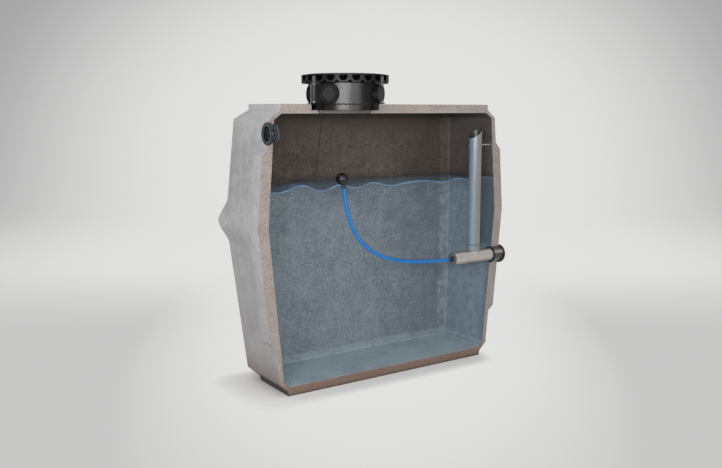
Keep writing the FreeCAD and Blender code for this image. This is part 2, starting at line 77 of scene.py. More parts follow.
def length(name, description, default):
    return bpy.props.FloatProperty(name=name, description=description, default=default, unit="LENGTH")


def angle(name, description, degrees):
    return bpy.props.FloatProperty(
        name=name, description=description, default=math.radians(degrees), subtype="ANGLE")


def amount(name, description, default):
    return bpy.props.FloatProperty(name=name, description=description, default=default, subtype="FACTOR")


def power(name, description, default):
    return bpy.props.FloatProperty(name=name, description=description, default=default, min=0.0)


def linear(channel):
    """One channel of a screen colour, 0 to 255, as light."""
    part = channel / 255
    if part <= 0.04045:
        return part / 12.92
    return ((part + 0.055) / 1.055) ** 2.4


def colour(name, description, red, green, blue):
    shade = (linear(red), linear(green), linear(blue))
    return bpy.props.FloatVectorProperty(
        name=name, description=description, default=shade, size=3, min=0.0, max=1.0, subtype="COLOR")


class CastingSizes(bpy.types.PropertyGroup):
    """Sizes of the concrete casting."""
    height: length("Height", "Ground to the roof's top", high("roof_right").z)
    waist: length("Waist level", "Level of the widest line", low("back_wall_upper").z)
    half_length: length("Half length", "Middle to the end wall at the waist", waist_half_length)
    half_width: length("Half width", "Cut to the back wall at the waist", high("back_wall_upper").y - cut_y)
    lower_draft: length("Lower draft", "Lean of the walls from waist to heel", 112 * mm)
    upper_draft: length("Upper draft", "Lean of the walls from waist to shoulder", 60 * mm)
    wall: length("Wall", "Thickness of the walls", 42 * mm)
    corner: length("Corner", "Chamfer of the upright corners", 65 * mm)
    plinth: length("Plinth", "Height of the plinth", high("base_plinth").z)
    plinth_draft: length("Plinth draft", "Lean of the plinth's sides", 6 * mm)
    heel: length("Heel", "Top of the chamfer over the plinth", 110 * mm)
    heel_chamfer: length("Heel chamfer", "Width of that chamfer", 73 * mm)
    shoulder: length("Shoulder", "Foot of the roof's chamfer", 2134 * mm)
    shoulder_rise: length("Shoulder rise", "Height of the roof's chamfer", 73 * mm)
    shoulder_chamfer: length("Shoulder chamfer", "Width of the roof's chamfer", 89 * mm)
    ceiling: length("Ceiling", "Underside of the roof", low("roof_right").z)
    ceiling_haunch: length("Ceiling haunch", "Chamfer under the roof", 63 * mm)
    floor: length("Floor", "Top of the floor slab", high("floor_slab").z)
    floor_haunch: length("Floor haunch", "Chamfer at the foot of the walls", 41 * mm)
    floor_haunch_rise: length("Floor haunch rise", "Height of that chamfer", 51 * mm)
    rib_proud: length("Rib", "End rib in front of its wall", high("right_end_rib").x - waist_half_length)
    rib_width: length("Rib half width", "Cut to the rib's flank", high("right_end_rib").y - cut_y)
    rib_foot: length("Rib foot", "Lower end of the ribs", low("right_end_rib").z)
    rib_foot_slope: length("Rib foot slope", "Height of the slope at the rib's foot", 46 * mm)
    rib_head: length("Rib head", "Upper end of the ribs", high("right_end_rib").z)
    rib_head_slope: length("Rib head slope", "Height of the slope at the rib's head", 62 * mm)
    belt_proud: length(
        "Belt", "Waist belt in front of the wall", high("right_end_belt").x - waist_half_length)
    belt_root: length("Belt root", "Height of the belt at the wall", 324 * mm)
    belt_crest: length("Belt crest", "Height of the belt's crest", 60 * mm)
    belt_round: length("Belt rounding", "How softly the crest turns", 15 * mm)
    belt_fillet: length("Belt fillet", "How softly the belt meets the wall", 10 * mm)
    manhole: length("Manhole", "Radius of the opening in the roof", 240 * mm)
    rebate: length("Rebate", "Radius of the step round the opening", 300 * mm)
    rebate_depth: length("Rebate depth", "Depth of that step", 46 * mm)
    arris: length("Arris", "Width of the worn edges", 4 * mm)


class FittingSizes(bpy.types.PropertyGroup):
    """Sizes of the seals, pipes, hose and float."""
    pipe: length("Pipe", "Radius of the drain pipe", 55 * mm)
    pipe_wall: length("Pipe wall", "Thickness of the pipe", 3.2 * mm)
    fit: length("Fit", "Gap between pieces that slide together", 0.3 * mm)
    socket_wall: length("Socket wall", "Thickness of the sockets", 4.5 * mm)
    socket_lip: length("Socket lip", "Bead round a socket's mouth", 2 * mm)
    inlet_sleeve: length("Inlet sleeve", "Radius of the inlet seal's sleeve", 68 * mm)
    outlet_sleeve: length("Outlet sleeve", "Radius of the outlet seal's sleeve", 67 * mm)
    seal_lip: length("Seal lip", "Roundness of a seal's flange", 9 * mm)
    seal_groove: length("Seal groove", "Depth of the grooves round a sleeve", 6 * mm)
    bevel: angle("Riser bevel", "Slope of the riser's top", 38)
    hose: length("Hose", "Radius of the draw-off hose", 15 * mm)
    ball: length("Float", "Radius of the float", 48 * mm)
    strap_tilt: angle("Strap tilt", "Lean of the float's strap", 35)


class ManholeSizes(bpy.types.PropertyGroup):
    """Sizes of the manhole neck and its cover."""
    neck: length("Neck", "Radius of the neck", cut_y - low("manhole_neck").y)
    neck_wall: length("Neck wall", "Thickness of the neck", 10 * mm)
    band_inset: length("Foot band", "Foot band's step in from the neck", 8 * mm)
    band_height: length("Foot band height", "Height of the foot band", 40 * mm)
    port: length("Port", "Radius of the blank ports", 70 * mm)
    port_wall: length("Port wall", "Thickness of the ports", 8 * mm)
    port_recess: length("Port recess", "Radius of the sunk face of a port's cap", 48 * mm)
    port_sunk: length("Port sink", "Depth of that face", 8 * mm)
    port_cap: length("Port cap", "Thickness of a port's cap", 10 * mm)
    rim: length("Rim", "Height of the cover's rim", 63 * mm)
    rim_width: length("Rim width", "Thickness of the cover's rim", 38 * mm)
    plate: length("Plate", "Thickness of the cover's plate", 8 * mm)
    shoulder: length("Shoulder", "Flat ring round the cover's raised top", 6 * mm)
    top_rise: length("Raised top", "Height of the cover's raised top", 6 * mm)
    top_chamfer: length("Top slope", "Width of the raised top's sloping edge", 40 * mm)
    pockets: bpy.props.IntProperty(name="Pockets", description="Pockets round the rim", default=22, min=3)
    pocket_angle: angle("First pocket", "Direction of the first pocket", 235)
    pocket_width: length("Pocket width", "Width of a pocket", 60 * mm)
    pocket_height: length("Pocket height", "Height of a pocket", 42 * mm)
    pocket_depth: length("Pocket depth", "Depth of a pocket", 26 * mm)
    notch: length("Notch", "Radius of the gaps in the rim's foot", 16 * mm)
    rod: length("Rod", "Radius of the tie rods", 6 * mm)
    nut: length("Nut", "Half width of the rods' nuts", 11 * mm)
    nut_height: length("Nut height", "Height of the rods' nuts", 10 * mm)
    washer: length("Washer", "Thickness of the rods' washers", 2.5 * mm)
    hook: length("Hook", "Width of the hooks in the roof", 36 * mm)
    hook_margin: length("Hook margin", "Hook's lug past the rod's axis", 14 * mm)
    clip: length("Clip", "Width of the clips under the rim", 30 * mm)
    clip_plate: length("Clip plate", "Thickness of a clip's plate", 8 * mm)
    clip_tab: length("Clip tab", "Thickness of a clip's tab", 6 * mm)
    clip_margin: length("Clip margin", "Clip's plate past the rod's axis", 10 * mm)


class WaterSizes(bpy.types.PropertyGroup):
    """The water in the tank."""
    level: length("Level", "Mean height of the water", 1615 * mm)
    gap: length("Film", "Water clear of the concrete", 0.8 * mm)
    ripple: length("Ripple step", "Spacing of the surface's points", 14 * mm)
    # Depth of the painted highlight at the cut.
    edge: length("Bright edge", "Depth of the bright edge at the cut", 11 * mm)


class TankColours(bpy.types.PropertyGroup):
    """Colours of the finishes."""
    concrete: colour("Concrete", "Weathered outside", 187, 186, 188)
    # Also painted shade low on the outer walls and painted light on the dry end wall inside.
    concrete_dark: colour("Damp concrete", "Darker streaks outside", 146, 144, 144)
    sawn: colour("Sawn concrete", "Face of the cut", 155, 146, 140)
    sawn_dark: colour("Sawn grit", "Darker grains of the cut", 123, 114, 108)
    inside: colour("Inside", "Walls inside the tank", 107, 96, 88)
    # Darker patches inside, also used for painted shade on the casting and the pipes.
    stain_and_shade: colour("Inside stains", "Darker patches inside", 62, 55, 50)
    wet: colour("Wet wall", "Walls under water", 151, 158, 164)
    wet_dark: colour("Wet stains", "Darker specks under water", 90, 96, 104)
    # Painted light on the end wall under water, and painted reflection along the riser's left.
    blue_light: colour("Deep water", "End wall under water and the riser's left", 148, 174, 196)
    shade: colour("Wet shade", "Wet walls towards the right end", 40, 42, 60)
    # Pale mottled tone on the wet corner strip, and painted light on the floor under water.
    pale_tone_and_floor_light: colour("Silt", "Floor under water", 172, 189, 197)
    # Browner colour at the foot of the outer walls and at the bottom of the cut.
    foot: colour("Foot", "Soil stain at the foot", 108, 84, 70)
    plastic: colour("Black plastic", "Neck, cover, hooks and the rims of the port caps", 18, 18, 19)
    # Painted shade in the cover's pockets.
    pocket: colour("Pockets", "Sunk sides of the cover's pockets", 5, 5, 6)
    # Painted light on the sunk faces of the port caps.
    cap: colour("Port caps", "Sunk faces of the port caps", 40, 40, 42)
    rubber: colour("Rubber", "Pipe seals", 27, 30, 32)
    # Paler rubber that paints the sheen of the inlet seal's mouth and sleeve.
    ribbed_sheen: colour("Ribbed rubber", "Ribbed sleeve of the inlet seal", 74, 83, 88)
    sleeve: colour("Sleeve", "Worn sleeve of the outlet seal", 82, 71, 64)
    # Painted reflection of the sawn wall along the riser's right.
    tan_reflection: colour("Riser's warm side", "Riser beside the sawn wall", 152, 134, 120)
    pipe: colour("Riser", "Riser, its clamp and the tee's branch", 128, 136, 141)
    # Also the colour of the painted highlight along the outlet sleeve.
    tee: colour("Tee", "Tee and its end cap", 188, 184, 178)
    # Painted shade on the end face of the tee's cap.
    cap_end_shade: colour("Cap's end", "End face of the tee's cap", 98, 106, 112)
    # Painted shade inside the riser.
    bore: colour("Bore", "Inside of the riser", 56, 58, 61)
    steel: colour("Steel", "Clips, nuts and washers, and the foot of the stay", 112, 111, 109)
    rod: colour("Rods", "Tie rods", 70, 70, 71)
    stay: colour("Stay", "Bar of the riser's stay", 176, 174, 170)
    hose: colour("Hose", "Draw-off hose", 8, 108, 180)
    fitting: colour("Fittings", "Hose tail and float fittings", 32, 38, 46)
    ball: colour("Float", "Float ball", 22, 22, 24)
    water: colour("Water", "Body of the water", 118, 138, 150)
    surface: colour("Water surface", "Top of the water", 84, 106, 130)
    # Painted highlight along the water at the cut and on the crests, and the paler blue where the hose has
    # rubbed.
    edge: colour("Water edge", "Bright line of the surface at the cut", 98, 162, 208)
    floor: colour("Studio", "Floor round the tank", 228, 228, 226)
    backdrop: colour("Backdrop", "Backdrop in the middle", 226, 226, 225)
    # Painted shade towards the corners of the view.
    corner: colour("Backdrop corners", "Backdrop towards the corners", 168, 168, 168)


class StudioSizes(bpy.types.PropertyGroup):
    """Camera and light."""
    eye: bpy.props.FloatVectorProperty(
        name="Camera", description="Place of the camera", size=3, unit="LENGTH",
        default=(-3.919, cut_y - 5.361, 2.206))
    tilt: angle("Camera tilt", "Camera looks down by this", 8.65)
    heading: angle("Camera heading", "Turn of the camera to the right", 33.96)
    lens: bpy.props.FloatProperty(
        name="Lens", description="Focal length in millimetres on a 36 mm sensor", default=40.68, min=1.0)
    ambient: amount("Ambient", "Strength of the surrounding light", 0.25)
    key: power("Key", "Power of the main soft box", 290.0)
    key_heading: angle("Key heading", "Direction that the main soft box stands in", 228)
    fill: power("Fill", "Power of the second soft box", 100.0)
    fill_heading: angle("Fill heading", "Direction that the second soft box stands in", 264)
    box_height: angle("Soft box height", "Height of the soft boxes", 12)
    box_away: length("Soft box distance", "Soft boxes from the tank", 7.0)
    box_width: length("Soft box width", "Width of the soft boxes", 5.6)
    box_rise: length("Soft box rise", "Height of the soft boxes' faces", 1.15)
    top: power("Top light", "Strength of the light from above", 1.2)
    top_height: angle("Top light height", "Height of the light from above", 80)
    top_size: angle("Top light size", "Softness of the light from above", 100)


class TankSettings(bpy.types.PropertyGroup):
    """Everything that the sidebar offers."""
    casting: bpy.props.PointerProperty(type=CastingSizes)
    fittings: bpy.props.PointerProperty(type=FittingSizes)
    manhole: bpy.props.PointerProperty(type=ManholeSizes)
    water: bpy.props.PointerProperty(type=WaterSizes)
    colours: bpy.props.PointerProperty(type=TankColours)
    studio: bpy.props.PointerProperty(type=StudioSizes)


def settings():
    return bpy.context.scene.rainwater_tank


# Shader maths

class Field:
    """A number that changes over a surface. Arithmetic on it adds Math nodes to its recipe."""

    def __init__(self, recipe, socket):
        self.recipe = recipe
        self.socket = socket

    def math(self, operation, first, second=0.0):
        return self.recipe.field("ShaderNodeMath", {"operation": operation}, {0: first, 1: second})

    def __add__(self, other):
        return self.math("ADD", self, other)

    def __radd__(self, other):
        return self.math("ADD", other, self)

    def __sub__(self, other):
        return self.math("SUBTRACT", self, other)

    def __rsub__(self, other):
        return self.math("SUBTRACT", other, self)

    def __mul__(self, other):
        return self.math("MULTIPLY", self, other)

    def __rmul__(self, other):
        return self.math("MULTIPLY", other, self)

    def sine(self):
        return self.math("SINE", self)

    def size(self):
        return self.math("ABSOLUTE", self)

    def past(self, limit):
        """How far this goes beyond a limit on either side of 0."""
        return self.math("MAXIMUM", self.size() - limit, 0.0)

    def least(self, limit):
        """This, but no more than a limit."""
        return self.math("MINIMUM", self, limit)

    def rise(self, start, end):
        """Smooth step from 0 at start to 1 at end."""
        choices = {"interpolation_type": "SMOOTHSTEP"}
        sockets = {0: self, 1: start, 2: end, 3: 0.0, 4: 1.0}
        return self.recipe.field("ShaderNodeMapRange", choices, sockets)


class Recipe:
    """One procedural finish on Object coordinates."""

    def __init__(self, name):
        self.material = bpy.data.materials.new(name)
        self.material.use_nodes = True
        self.tree = self.material.node_tree
        self.tree.nodes.clear()
        self.place = self.node("ShaderNodeTexCoord").outputs["Object"]

    def node(self, kind, choices=None, sockets=None):
        """A node with its settings, and then the values or links of its sockets."""
        made = self.tree.nodes.new(kind)
        for name, value in (choices or {}).items():
            setattr(made, name, value)
        for key, value in (sockets or {}).items():
            value = value.socket if isinstance(value, Field) else value
            if isinstance(value, bpy.types.NodeSocket):
                self.tree.links.new(value, made.inputs[key])
            elif made.inputs[key].type == "RGBA":
                made.inputs[key].default_value = (*value[:3], 1.0)
            else:
                made.inputs[key].default_value = value
        return made

    def field(self, kind, choices, sockets, output=0):
        return Field(self, self.node(kind, choices, sockets).outputs[output])

    def axes(self):
        split = self.node("ShaderNodeSeparateXYZ", None, {0: self.place})
        return [Field(self, socket) for socket in split.outputs]

    def stretched(self, scale):
        return self.node("ShaderNodeMapping", None, {"Vector": self.place, "Scale": scale}).outputs[0]

    def noise(self, scale, detail=4.0, roughness=0.55, stretch=(1, 1, 1)):
        place = self.stretched(stretch)
        sockets = {"Vector": place, "Scale": scale, "Detail": detail, "Roughness": roughness}
        return self.field("ShaderNodeTexNoise", None, sockets)

    def cells(self, scale):
        """Distance from the middle of scattered grains."""
        return self.field("ShaderNodeTexVoronoi", None, {"Vector": self.place, "Scale": scale})

    def grains(self, scale):
        """One random number for each scattered grain."""
        cell = self.node("ShaderNodeTexVoronoi", None, {"Vector": self.place, "Scale": scale})
        return self.field("ShaderNodeSeparateColor", None, {0: cell.outputs["Color"]})

    def blend(self, share, first, second):
        """Colour between two colours."""
        choices = {"data_type": "RGBA"}
        return self.node("ShaderNodeMix", choices, {0: share, 6: first, 7: second}).outputs[2]

    def shader(self, sockets, height=None, bump=0.3, reach=0.002):
        """The surface itself, with a bump where a height is given."""
        surface = self.node("ShaderNodeBsdfPrincipled", None, sockets)
        if height is not None:
            shape = {"Strength": bump, "Distance": reach, "Height": height}
            relief = self.node("ShaderNodeBump", None, shape)
            self.tree.links.new(relief.outputs[0], surface.inputs["Normal"])
        self.node("ShaderNodeOutputMaterial", None, {"Surface": surface.outputs[0]})
        return self.material


# Finishes

def cast_concrete():
    """Outside of the casting: grey, streaked downwards, with small pores, browner towards the foot, with
    painted light towards the top and painted shade lower down and under the heel.
    """
    shades = settings().colours
    r = Recipe("cast_concrete")
    z = r.axes()[2]
    clouds = r.noise(1.7, 5.0)
    mottle = r.noise(13.0, 4.0, 0.6)
    streaks = r.noise(1.0, 4.0, 0.6, (44, 44, 1.0))
    grain = r.noise(70.0, 4.0, 0.7)
    pores = 1 - r.cells(42.0).rise(0.05, 0.13)
    chosen = r.grains(42.0).rise(0.72, 0.76)
    # The last term is painted light: the tone lifts towards the top, where the shoulder faces the light.
    tone = clouds * 0.7 + mottle * 0.5 + streaks * 0.4 + grain * 0.4 + z.rise(1.9, 2.2) * 0.15
    skin = r.blend(tone.rise(0.65, 1.35), shades.concrete_dark, shades.concrete)
    # Painted shade: the outer walls darken lower down.
    low_shade = (1 - (z + clouds * 0.5).rise(0.3, 1.6)) * 0.6
    skin = r.blend(low_shade, skin, shades.concrete_dark)
    skin = r.blend(pores * chosen * 0.45, skin, shades.stain_and_shade)
    # Browner and darker towards the foot.
    browner_foot = (1 - (z + clouds * 0.12).rise(0.05, 0.42)) * 0.75
    skin = r.blend(browner_foot, skin, shades.foot)
    # Painted shade on the underside of the heel's chamfer and on the plinth.
    skin = r.blend((1 - z.rise(0.03, 0.12)) * 0.9, skin, shades.stain_and_shade)
    height = grain * 0.7 + clouds - pores * chosen * 1.5
    return r.shader({"Base Color": skin, "Roughness": 0.78 + grain * 0.2}, height, 0.35, 0.002)


def sawn_concrete():
    """Face of the cut: tan, with sand and small stones showing, browner towards the bottom, and a painted
    contact shadow along its foot.
    """
    shades = settings().colours
    r = Recipe("sawn_concrete")
    z = r.axes()[2]
    stones = r.grains(100.0)
    sand = r.noise(150.0, 3.0, 0.7)
    clouds = r.noise(7.0, 5.0)
    roof = (z - settings().casting.ceiling).rise(-0.05, 0.02)
    tone = stones * 0.35 + sand * 0.5 + clouds * 0.6 + roof * 0.2
    face = r.blend(tone.rise(0.35, 1.1), shades.sawn_dark, shades.sawn)
    # Browner and darker towards the bottom of the cut.
    browner_low = (1 - (z + clouds * 0.06).rise(0.06, 0.2)) * (0.35 + stones * 0.5 + sand * 0.5)
    face = r.blend(browner_low, face, shades.foot)
    # Painted contact shadow: a dark line along the foot of the cut.
    face = r.blend((1 - z.rise(0.012, 0.024)) * 0.6, face, shades.stain_and_shade)
    return r.shader({"Base Color": face, "Roughness": 0.8}, sand + stones * 0.4, 0.25, 0.0015)


def inner_concrete():
    """Inside of the tank: brown and blotched above the water, paler and specked under it, with painted shade
    under the roof, towards the right end, on the corner strips, along the cut and as the riser's shadow, and
    painted light on the end wall and the floor.
    """
    shades = settings().colours
    r = Recipe("inner_concrete")
    s = settings().casting
    x, y, z = r.axes()
    clouds = r.noise(4.0, 4.0, 0.6)
    mottle = r.noise(13.0, 4.0, 0.6)
    spots = r.noise(60.0, 3.0, 0.75)
    streaks = r.noise(1.0, 3.0, 0.55, (22, 22, 1.0))
    grain = r.noise(110.0, 2.0, 0.7)
    pores = (1 - r.cells(46.0).rise(0.16, 0.36)) * r.grains(46.0).rise(0.5, 0.54)
    tone = (clouds * 0.4 + mottle * 0.3 + spots * 0.9 + streaks * 0.1 + grain * 0.4).rise(0.78, 1.34)
    below = s.lower_draft / (s.waist - s.heel)
    above = s.upper_draft / (s.shoulder - s.waist)
    lean = (z - s.waist).size() * (below + above) * 0.5 + (s.waist - z) * ((below - above) * 0.5)
    beyond = x + lean - (s.half_length - s.wall)
    end = beyond.rise(-0.02, -0.005)
    corner = beyond.rise(-0.075, -0.06)
    # Painted shade on the back wall towards the right end.
    towards = x.rise(0.35, 0.93) * (1 - corner)
    dry = r.blend(tone, shades.stain_and_shade, shades.inside)
    # Painted shade under the roof: the dry walls darken towards the ceiling.
    dry = r.blend((z - s.ceiling).rise(-0.4, 0.0) * 0.75, dry, shades.stain_and_shade)
    dry = r.blend(towards * 0.4, dry, shades.stain_and_shade)
    # Painted shade on the chamfered corner strip.
    dry = r.blend((corner - end) * 0.3, dry, shades.stain_and_shade)
    # Painted light on the dry end wall, which faces the light.
    dry = r.blend(end * 0.1, dry, shades.concrete_dark)
    drip = 1 - (x - z * 0.0925 + 0.482).size().rise(0.003, 0.008)
    dry = r.blend(drip * (y - cut_y).rise(0.4, 0.45) * 0.6, dry, shades.rubber)
    wet = r.blend(tone, shades.wet_dark, shades.wet)
    # Painted shade on the wet back wall towards the right end.
    wet = r.blend(towards * 0.3, wet, shades.shade)
    # Painted shade on the wet corner strip.
    wet = r.blend((corner - end) * 0.4, wet, shades.wet_dark)
    wet = r.blend((corner - end) * mottle.rise(0.45, 0.6) * 0.3, wet, shades.pale_tone_and_floor_light)
    # Painted light on the end wall under water: bluer and brighter where it faces the light, mottled and
    # streaked.
    wet = r.blend(end * (0.1 + mottle.rise(0.3, 0.7) * 0.4 + streaks * 0.2), wet, shades.blue_light)
    # Painted shade on the end wall along the cut.
    wet = r.blend(end * (1 - (y - cut_y).rise(0.0, 0.1)) * 0.45, wet, shades.shade)
    # Painted shadow of the riser on the end wall beside it.
    shade = end * (1 - (y - cut_y).rise(0.16, 0.3)) * z.rise(0.95, 1.05)
    wet = r.blend(shade * 0.8, wet, shades.shade)
    # Painted light on the floor under water, which faces up, clouded and kept off the haunch.
    haunch = (z - s.floor).rise(0.002, 0.01)
    floor_light = (1 - (z - s.floor).rise(0.04, 0.06)) * (0.25 + clouds * 1.2) * (1 - haunch * 0.6)
    wet = r.blend(floor_light, wet, shades.pale_tone_and_floor_light)
    skin = r.blend((z - settings().water.level).rise(-0.04, -0.005), wet, dry)
    skin = r.blend(pores * 0.5, skin, shades.stain_and_shade)
    tide = (1 - (z - settings().water.level - 0.02 + clouds * 0.03).size().rise(0.0, 0.06)) * 0.55
    skin = r.blend(tide, skin, shades.stain_and_shade)
    height = grain + spots * 0.5 - pores
    return r.shader({"Base Color": skin, "Roughness": 0.8 + grain * 0.1}, height, 0.3, 0.002)


def moulded(name, shade, rough, gloss, relief, worn):
    """Moulded plastic or rubber: fine leathery grain and faint paler scuffs."""
    shades = settings().colours
    r = Recipe(name)
    grain = r.noise(420.0, 2.0)
    scuffs = r.noise(9.0, 2.5, 0.5, (1, 1, 2.5))
    skin = r.blend(scuffs.rise(0.5, 0.75) * worn, getattr(shades, shade), shades.concrete_dark)
    sockets = {"Base Color": skin, "Roughness": rough + scuffs * 0.12, "Specular IOR Level": gloss}
    return r.shader(sockets, grain, relief, 0.0004)


def worn_sleeve():
    """Sleeve of the outlet seal, ringed with wear, with a painted highlight along its top."""
    shades = settings().colours
    r = Recipe("worn_sleeve")
    rings = r.noise(1.0, 2.0, 0.5, (110, 1, 1))
    aloft = r.axes()[2] - middle("outlet_seal").z
    skin = r.blend(rings.rise(0.38, 0.6), shades.rubber, shades.sleeve)
    # Painted highlight: a pale band along the top of the sleeve.
    skin = r.blend((1 - (aloft - 0.03).size().rise(0.004, 0.02)) * 0.5, skin, shades.tee)
    return r.shader({"Base Color": skin, "Roughness": 0.12 + rings * 0.1, "Specular IOR Level": 0.6})


def satin_pipe(name, shade, metallic, drawn, tint):
    """Smooth drain pipe with faint lines along its draw and a film of dirt, and what its tint paints:
    reflections on the riser, shade on the tee's run.
    """
    shades = settings().colours
    r = Recipe(name)
    film = r.noise(6.0, 5.0, 0.6)
    lines = r.noise(90.0, 3.0, 0.6, drawn)
    skin = r.blend(film.rise(0.45, 0.8) * 0.3, getattr(shades, shade), shades.inside)
    skin = r.blend(lines.rise(0.42, 0.62) * 0.2, skin, shades.inside)
    if tint:
        skin = tint(r, skin)
    sockets = {"Base Color": skin, "Roughness": 0.16 + film * 0.16, "Metallic": metallic}
    return r.shader(sockets, lines, 0.04, 0.0005)


def painted_riser_reflections(r, skin):
    """Painted reflections on the riser: tan along its right beside the sawn wall, blue along its left; and a
    dark joint at the tee.
    """
    shades = settings().colours
    x, y, z = r.axes()
    beside = x - middle("riser_pipe").x
    # Painted reflection of the sawn wall along the riser's right.
    side = beside.rise(-0.008, 0.022) * (1 - (y - cut_y).rise(-0.02, 0.02)) * 0.9
    # Painted reflection of the water along the riser's left.
    skin = r.blend((1 - beside.rise(-0.05, -0.025)) * 0.4, skin, shades.blue_light)
    skin = r.blend(side, skin, shades.tan_reflection)
    joint = (1 - (z - high("drain_tee").z).size().rise(0.002, 0.006)) * 0.5
    return r.blend(joint, skin, shades.stain_and_shade)


def shaded_run(r, skin):
    """Painted shade under the tee's run and along its crown, and a dark joint round its end cap."""
    shades = settings().colours
    x, y, z = r.axes()
    aloft = z - middle("tee_end_cap").z
    # Painted shade: the run darkens below its axis and along its crown.
    under = (0 - aloft).rise(0.0, 0.05) * 0.65 + aloft.rise(0.042, 0.055) * 0.5
    joint = (1 - (x - high("tee_end_cap").x).size().rise(0.002, 0.007)) * 0.6
    return r.blend(joint, r.blend(under, skin, shades.inside), shades.stain_and_shade)


def galvanised(name, shade, tint):
    """Galvanised steel with a faint spangle, and the painted shade of its tint on the rods."""
    shades = settings().colours
    r = Recipe(name)
    spangle = r.grains(130.0)
    film = r.noise(25.0, 4.0)
    skin = r.blend(film.rise(0.5, 0.8) * 0.3, getattr(shades, shade), shades.concrete_dark)
    if tint:
        skin = tint(r, skin)
    sockets = {"Base Color": skin, "Roughness": 0.34 + spangle * 0.2, "Metallic": 0.5}
    return r.shader(sockets, film, 0.08, 0.0005)


def shaded_rod_side(r, skin):
    """Painted shade on the rods at the neck's right."""
    return r.blend((r.axes()[0] - neck_x).rise(0.05, 0.1) * 0.85, skin, settings().colours.rubber)


def hose_skin():
    """Blue hose, a little paler where it has rubbed."""
    shades = settings().colours
    r = Recipe("hose_skin")
    rub = r.noise(22.0, 4.0)
    skin = r.blend(rub.rise(0.5, 0.85) * 0.25, shades.hose, shades.edge)
    return r.shader({"Base Color": skin, "Roughness": 0.34 + rub * 0.12}, rub, 0.05, 0.0004)


def wave(x, y):
    """Height of the water above its mean level at a place, in numbers or in fields alike."""
    total = 0.0
    for height, count, slant, shift in waves:
        total = total + sine(x * count + y * (count * slant) + shift) * height
    return total * (x * -0.28 + 0.74) * ((y - cut_y) * -0.7 + 1.0)


def sine(phase):
    return phase.sine() if isinstance(phase, Field) else math.sin(phase)


# Height of each train of waves, its radians per metre along the tank, how it slants, and its start
waves = [
    (10.8 * mm, 20.61, 0.45, -0.48 + 0.45 * 20.61 * -cut_y),
    (13.5 * mm, 16.28, -0.6, 3.64 - 0.6 * 16.28 * -cut_y),
    (9.5 * mm, 11.32, 0.25, 4.76 + 0.25 * 11.32 * -cut_y),
]


def water_front():
    """Water at the cut: clear and grey blue, with a painted highlight along its surface."""
    shades = settings().colours
    r = Recipe("water_front")
    x, y, z = r.axes()
    depth = settings().water.level + wave(x, y) - z
    broken = 0.55 + r.noise(7.0, 3.0).rise(0.38, 0.62) * 0.45
    # Painted highlight: a bright, broken line just under the surface at the cut, fainter to the right.
    line = (1 - depth.rise(0.002, settings().water.edge)) * broken * (1 - x.rise(0.5, 0.95) * 0.6)
    haze = r.noise(2.0, 3.0)
    skin = r.blend(line, shades.water, shades.edge)
    cover = 0.13 + haze * 0.06 + line * 0.6
    return r.shader({"Base Color": skin, "Roughness": 0.12, "Alpha": cover, "IOR": 1.33})


def water_top():
    """Surface of the water: slate blue, with painted highlights on the crests."""
    shades = settings().colours
    r = Recipe("water_top")
    x, y = r.axes()[:2]
    # Painted highlight on the wave crests.
    crest = wave(x, y).rise(0.008, 0.024)
    skin = r.blend(crest * 0.35, shades.surface, shades.edge)
    return r.shader({"Base Color": skin, "Roughness": 0.08, "Alpha": 0.6 + crest * 0.2, "IOR": 1.33},
                    r.noise(18.0, 3.0), 0.15, 0.004)


def water_side():
    """Water against the concrete: a thin blue veil."""
    shades = settings().colours
    r = Recipe("water_side")
    veil = r.noise(3.0, 4.0)
    return r.shader({"Base Color": shades.water, "Roughness": 0.3, "Alpha": 0.06 + veil * 0.1, "IOR": 1.33})


def studio_paper():
    """Pale floor that keeps the shadow, with painted shade towards the corners of the view, as on the
    backdrop.
    """
    shades = settings().colours
    heading = settings().studio.heading
    r = Recipe("studio_paper")
    x, y, z = r.axes()
    along = x * math.sin(heading) + y * math.cos(heading)
    across = x * math.cos(heading) - y * math.sin(heading)
    behind = along.rise(1.0, 5.0)
    # Painted shade: floor and backdrop darken towards the corners of the view.
    spread = across * across * 0.155 + (along - 2.0) * (along - 2.0) * 0.026
    before = spread.least(0.85) * (1 - behind)
    across = across - 0.2
    aloft = (across * across * 0.0155 + (z - 1.5) * (z - 1.5) * 0.04) * behind
    skin = r.blend((before + aloft).rise(0.1, 1.6), shades.backdrop, shades.corner)
    paper = r.node("ShaderNodeBsdfDiffuse", None, {"Color": shades.floor})
    glow = r.node("ShaderNodeEmission", None, {"Color": skin})
    path = r.node("ShaderNodeLightPath").outputs
    seen = Field(r, path["Is Camera Ray"])
    for kind in ("Is Glossy Ray", "Is Transmission Ray"):
        seen = seen + Field(r, path[kind])
    beyond_x = (x + 0.15).past(high("base_plinth").x)
    beyond_y = y.past(high("base_plinth").y)
    away = (beyond_x * beyond_x + beyond_y * beyond_y).rise(0.001, 0.06)
    mixed = r.node("ShaderNodeMixShader", None, {0: seen * away, 1: paper.outputs[0], 2: glow.outputs[0]})
    r.node("ShaderNodeOutputMaterial", None, {"Surface": mixed.outputs[0]})
    return r.material


# Colour, roughness, gloss, relief and scuffs of each moulded finish
moulded_finishes = {
    "moulded_black": ("plastic", 0.22, 0.4, 0.015, 0.03),
    "cover_black": ("plastic", 0.38, 0.28, 0.15, 0.03),
    # Darker than the cover: painted shade in the pockets.
    "pocket_black": ("pocket", 0.8, 0.05, 0.15, 0.0),
    # Paler than the caps' rims: painted light.
    "cap_black": ("cap", 0.3, 0.4, 0.04, 0.03),
    "seal_rubber": ("rubber", 0.2, 0.5, 0.1, 0.04),
    # Paler than the seal's rubber: painted sheen.
    "ribbed_sheen_rubber": ("ribbed_sheen", 0.3, 0.5, 0.1, 0.04),
    "satin_fitting": ("fitting", 0.28, 0.5, 0.1, 0.05),
    "float_gloss": ("ball", 0.1, 0.5, 0.05, 0.03),
}
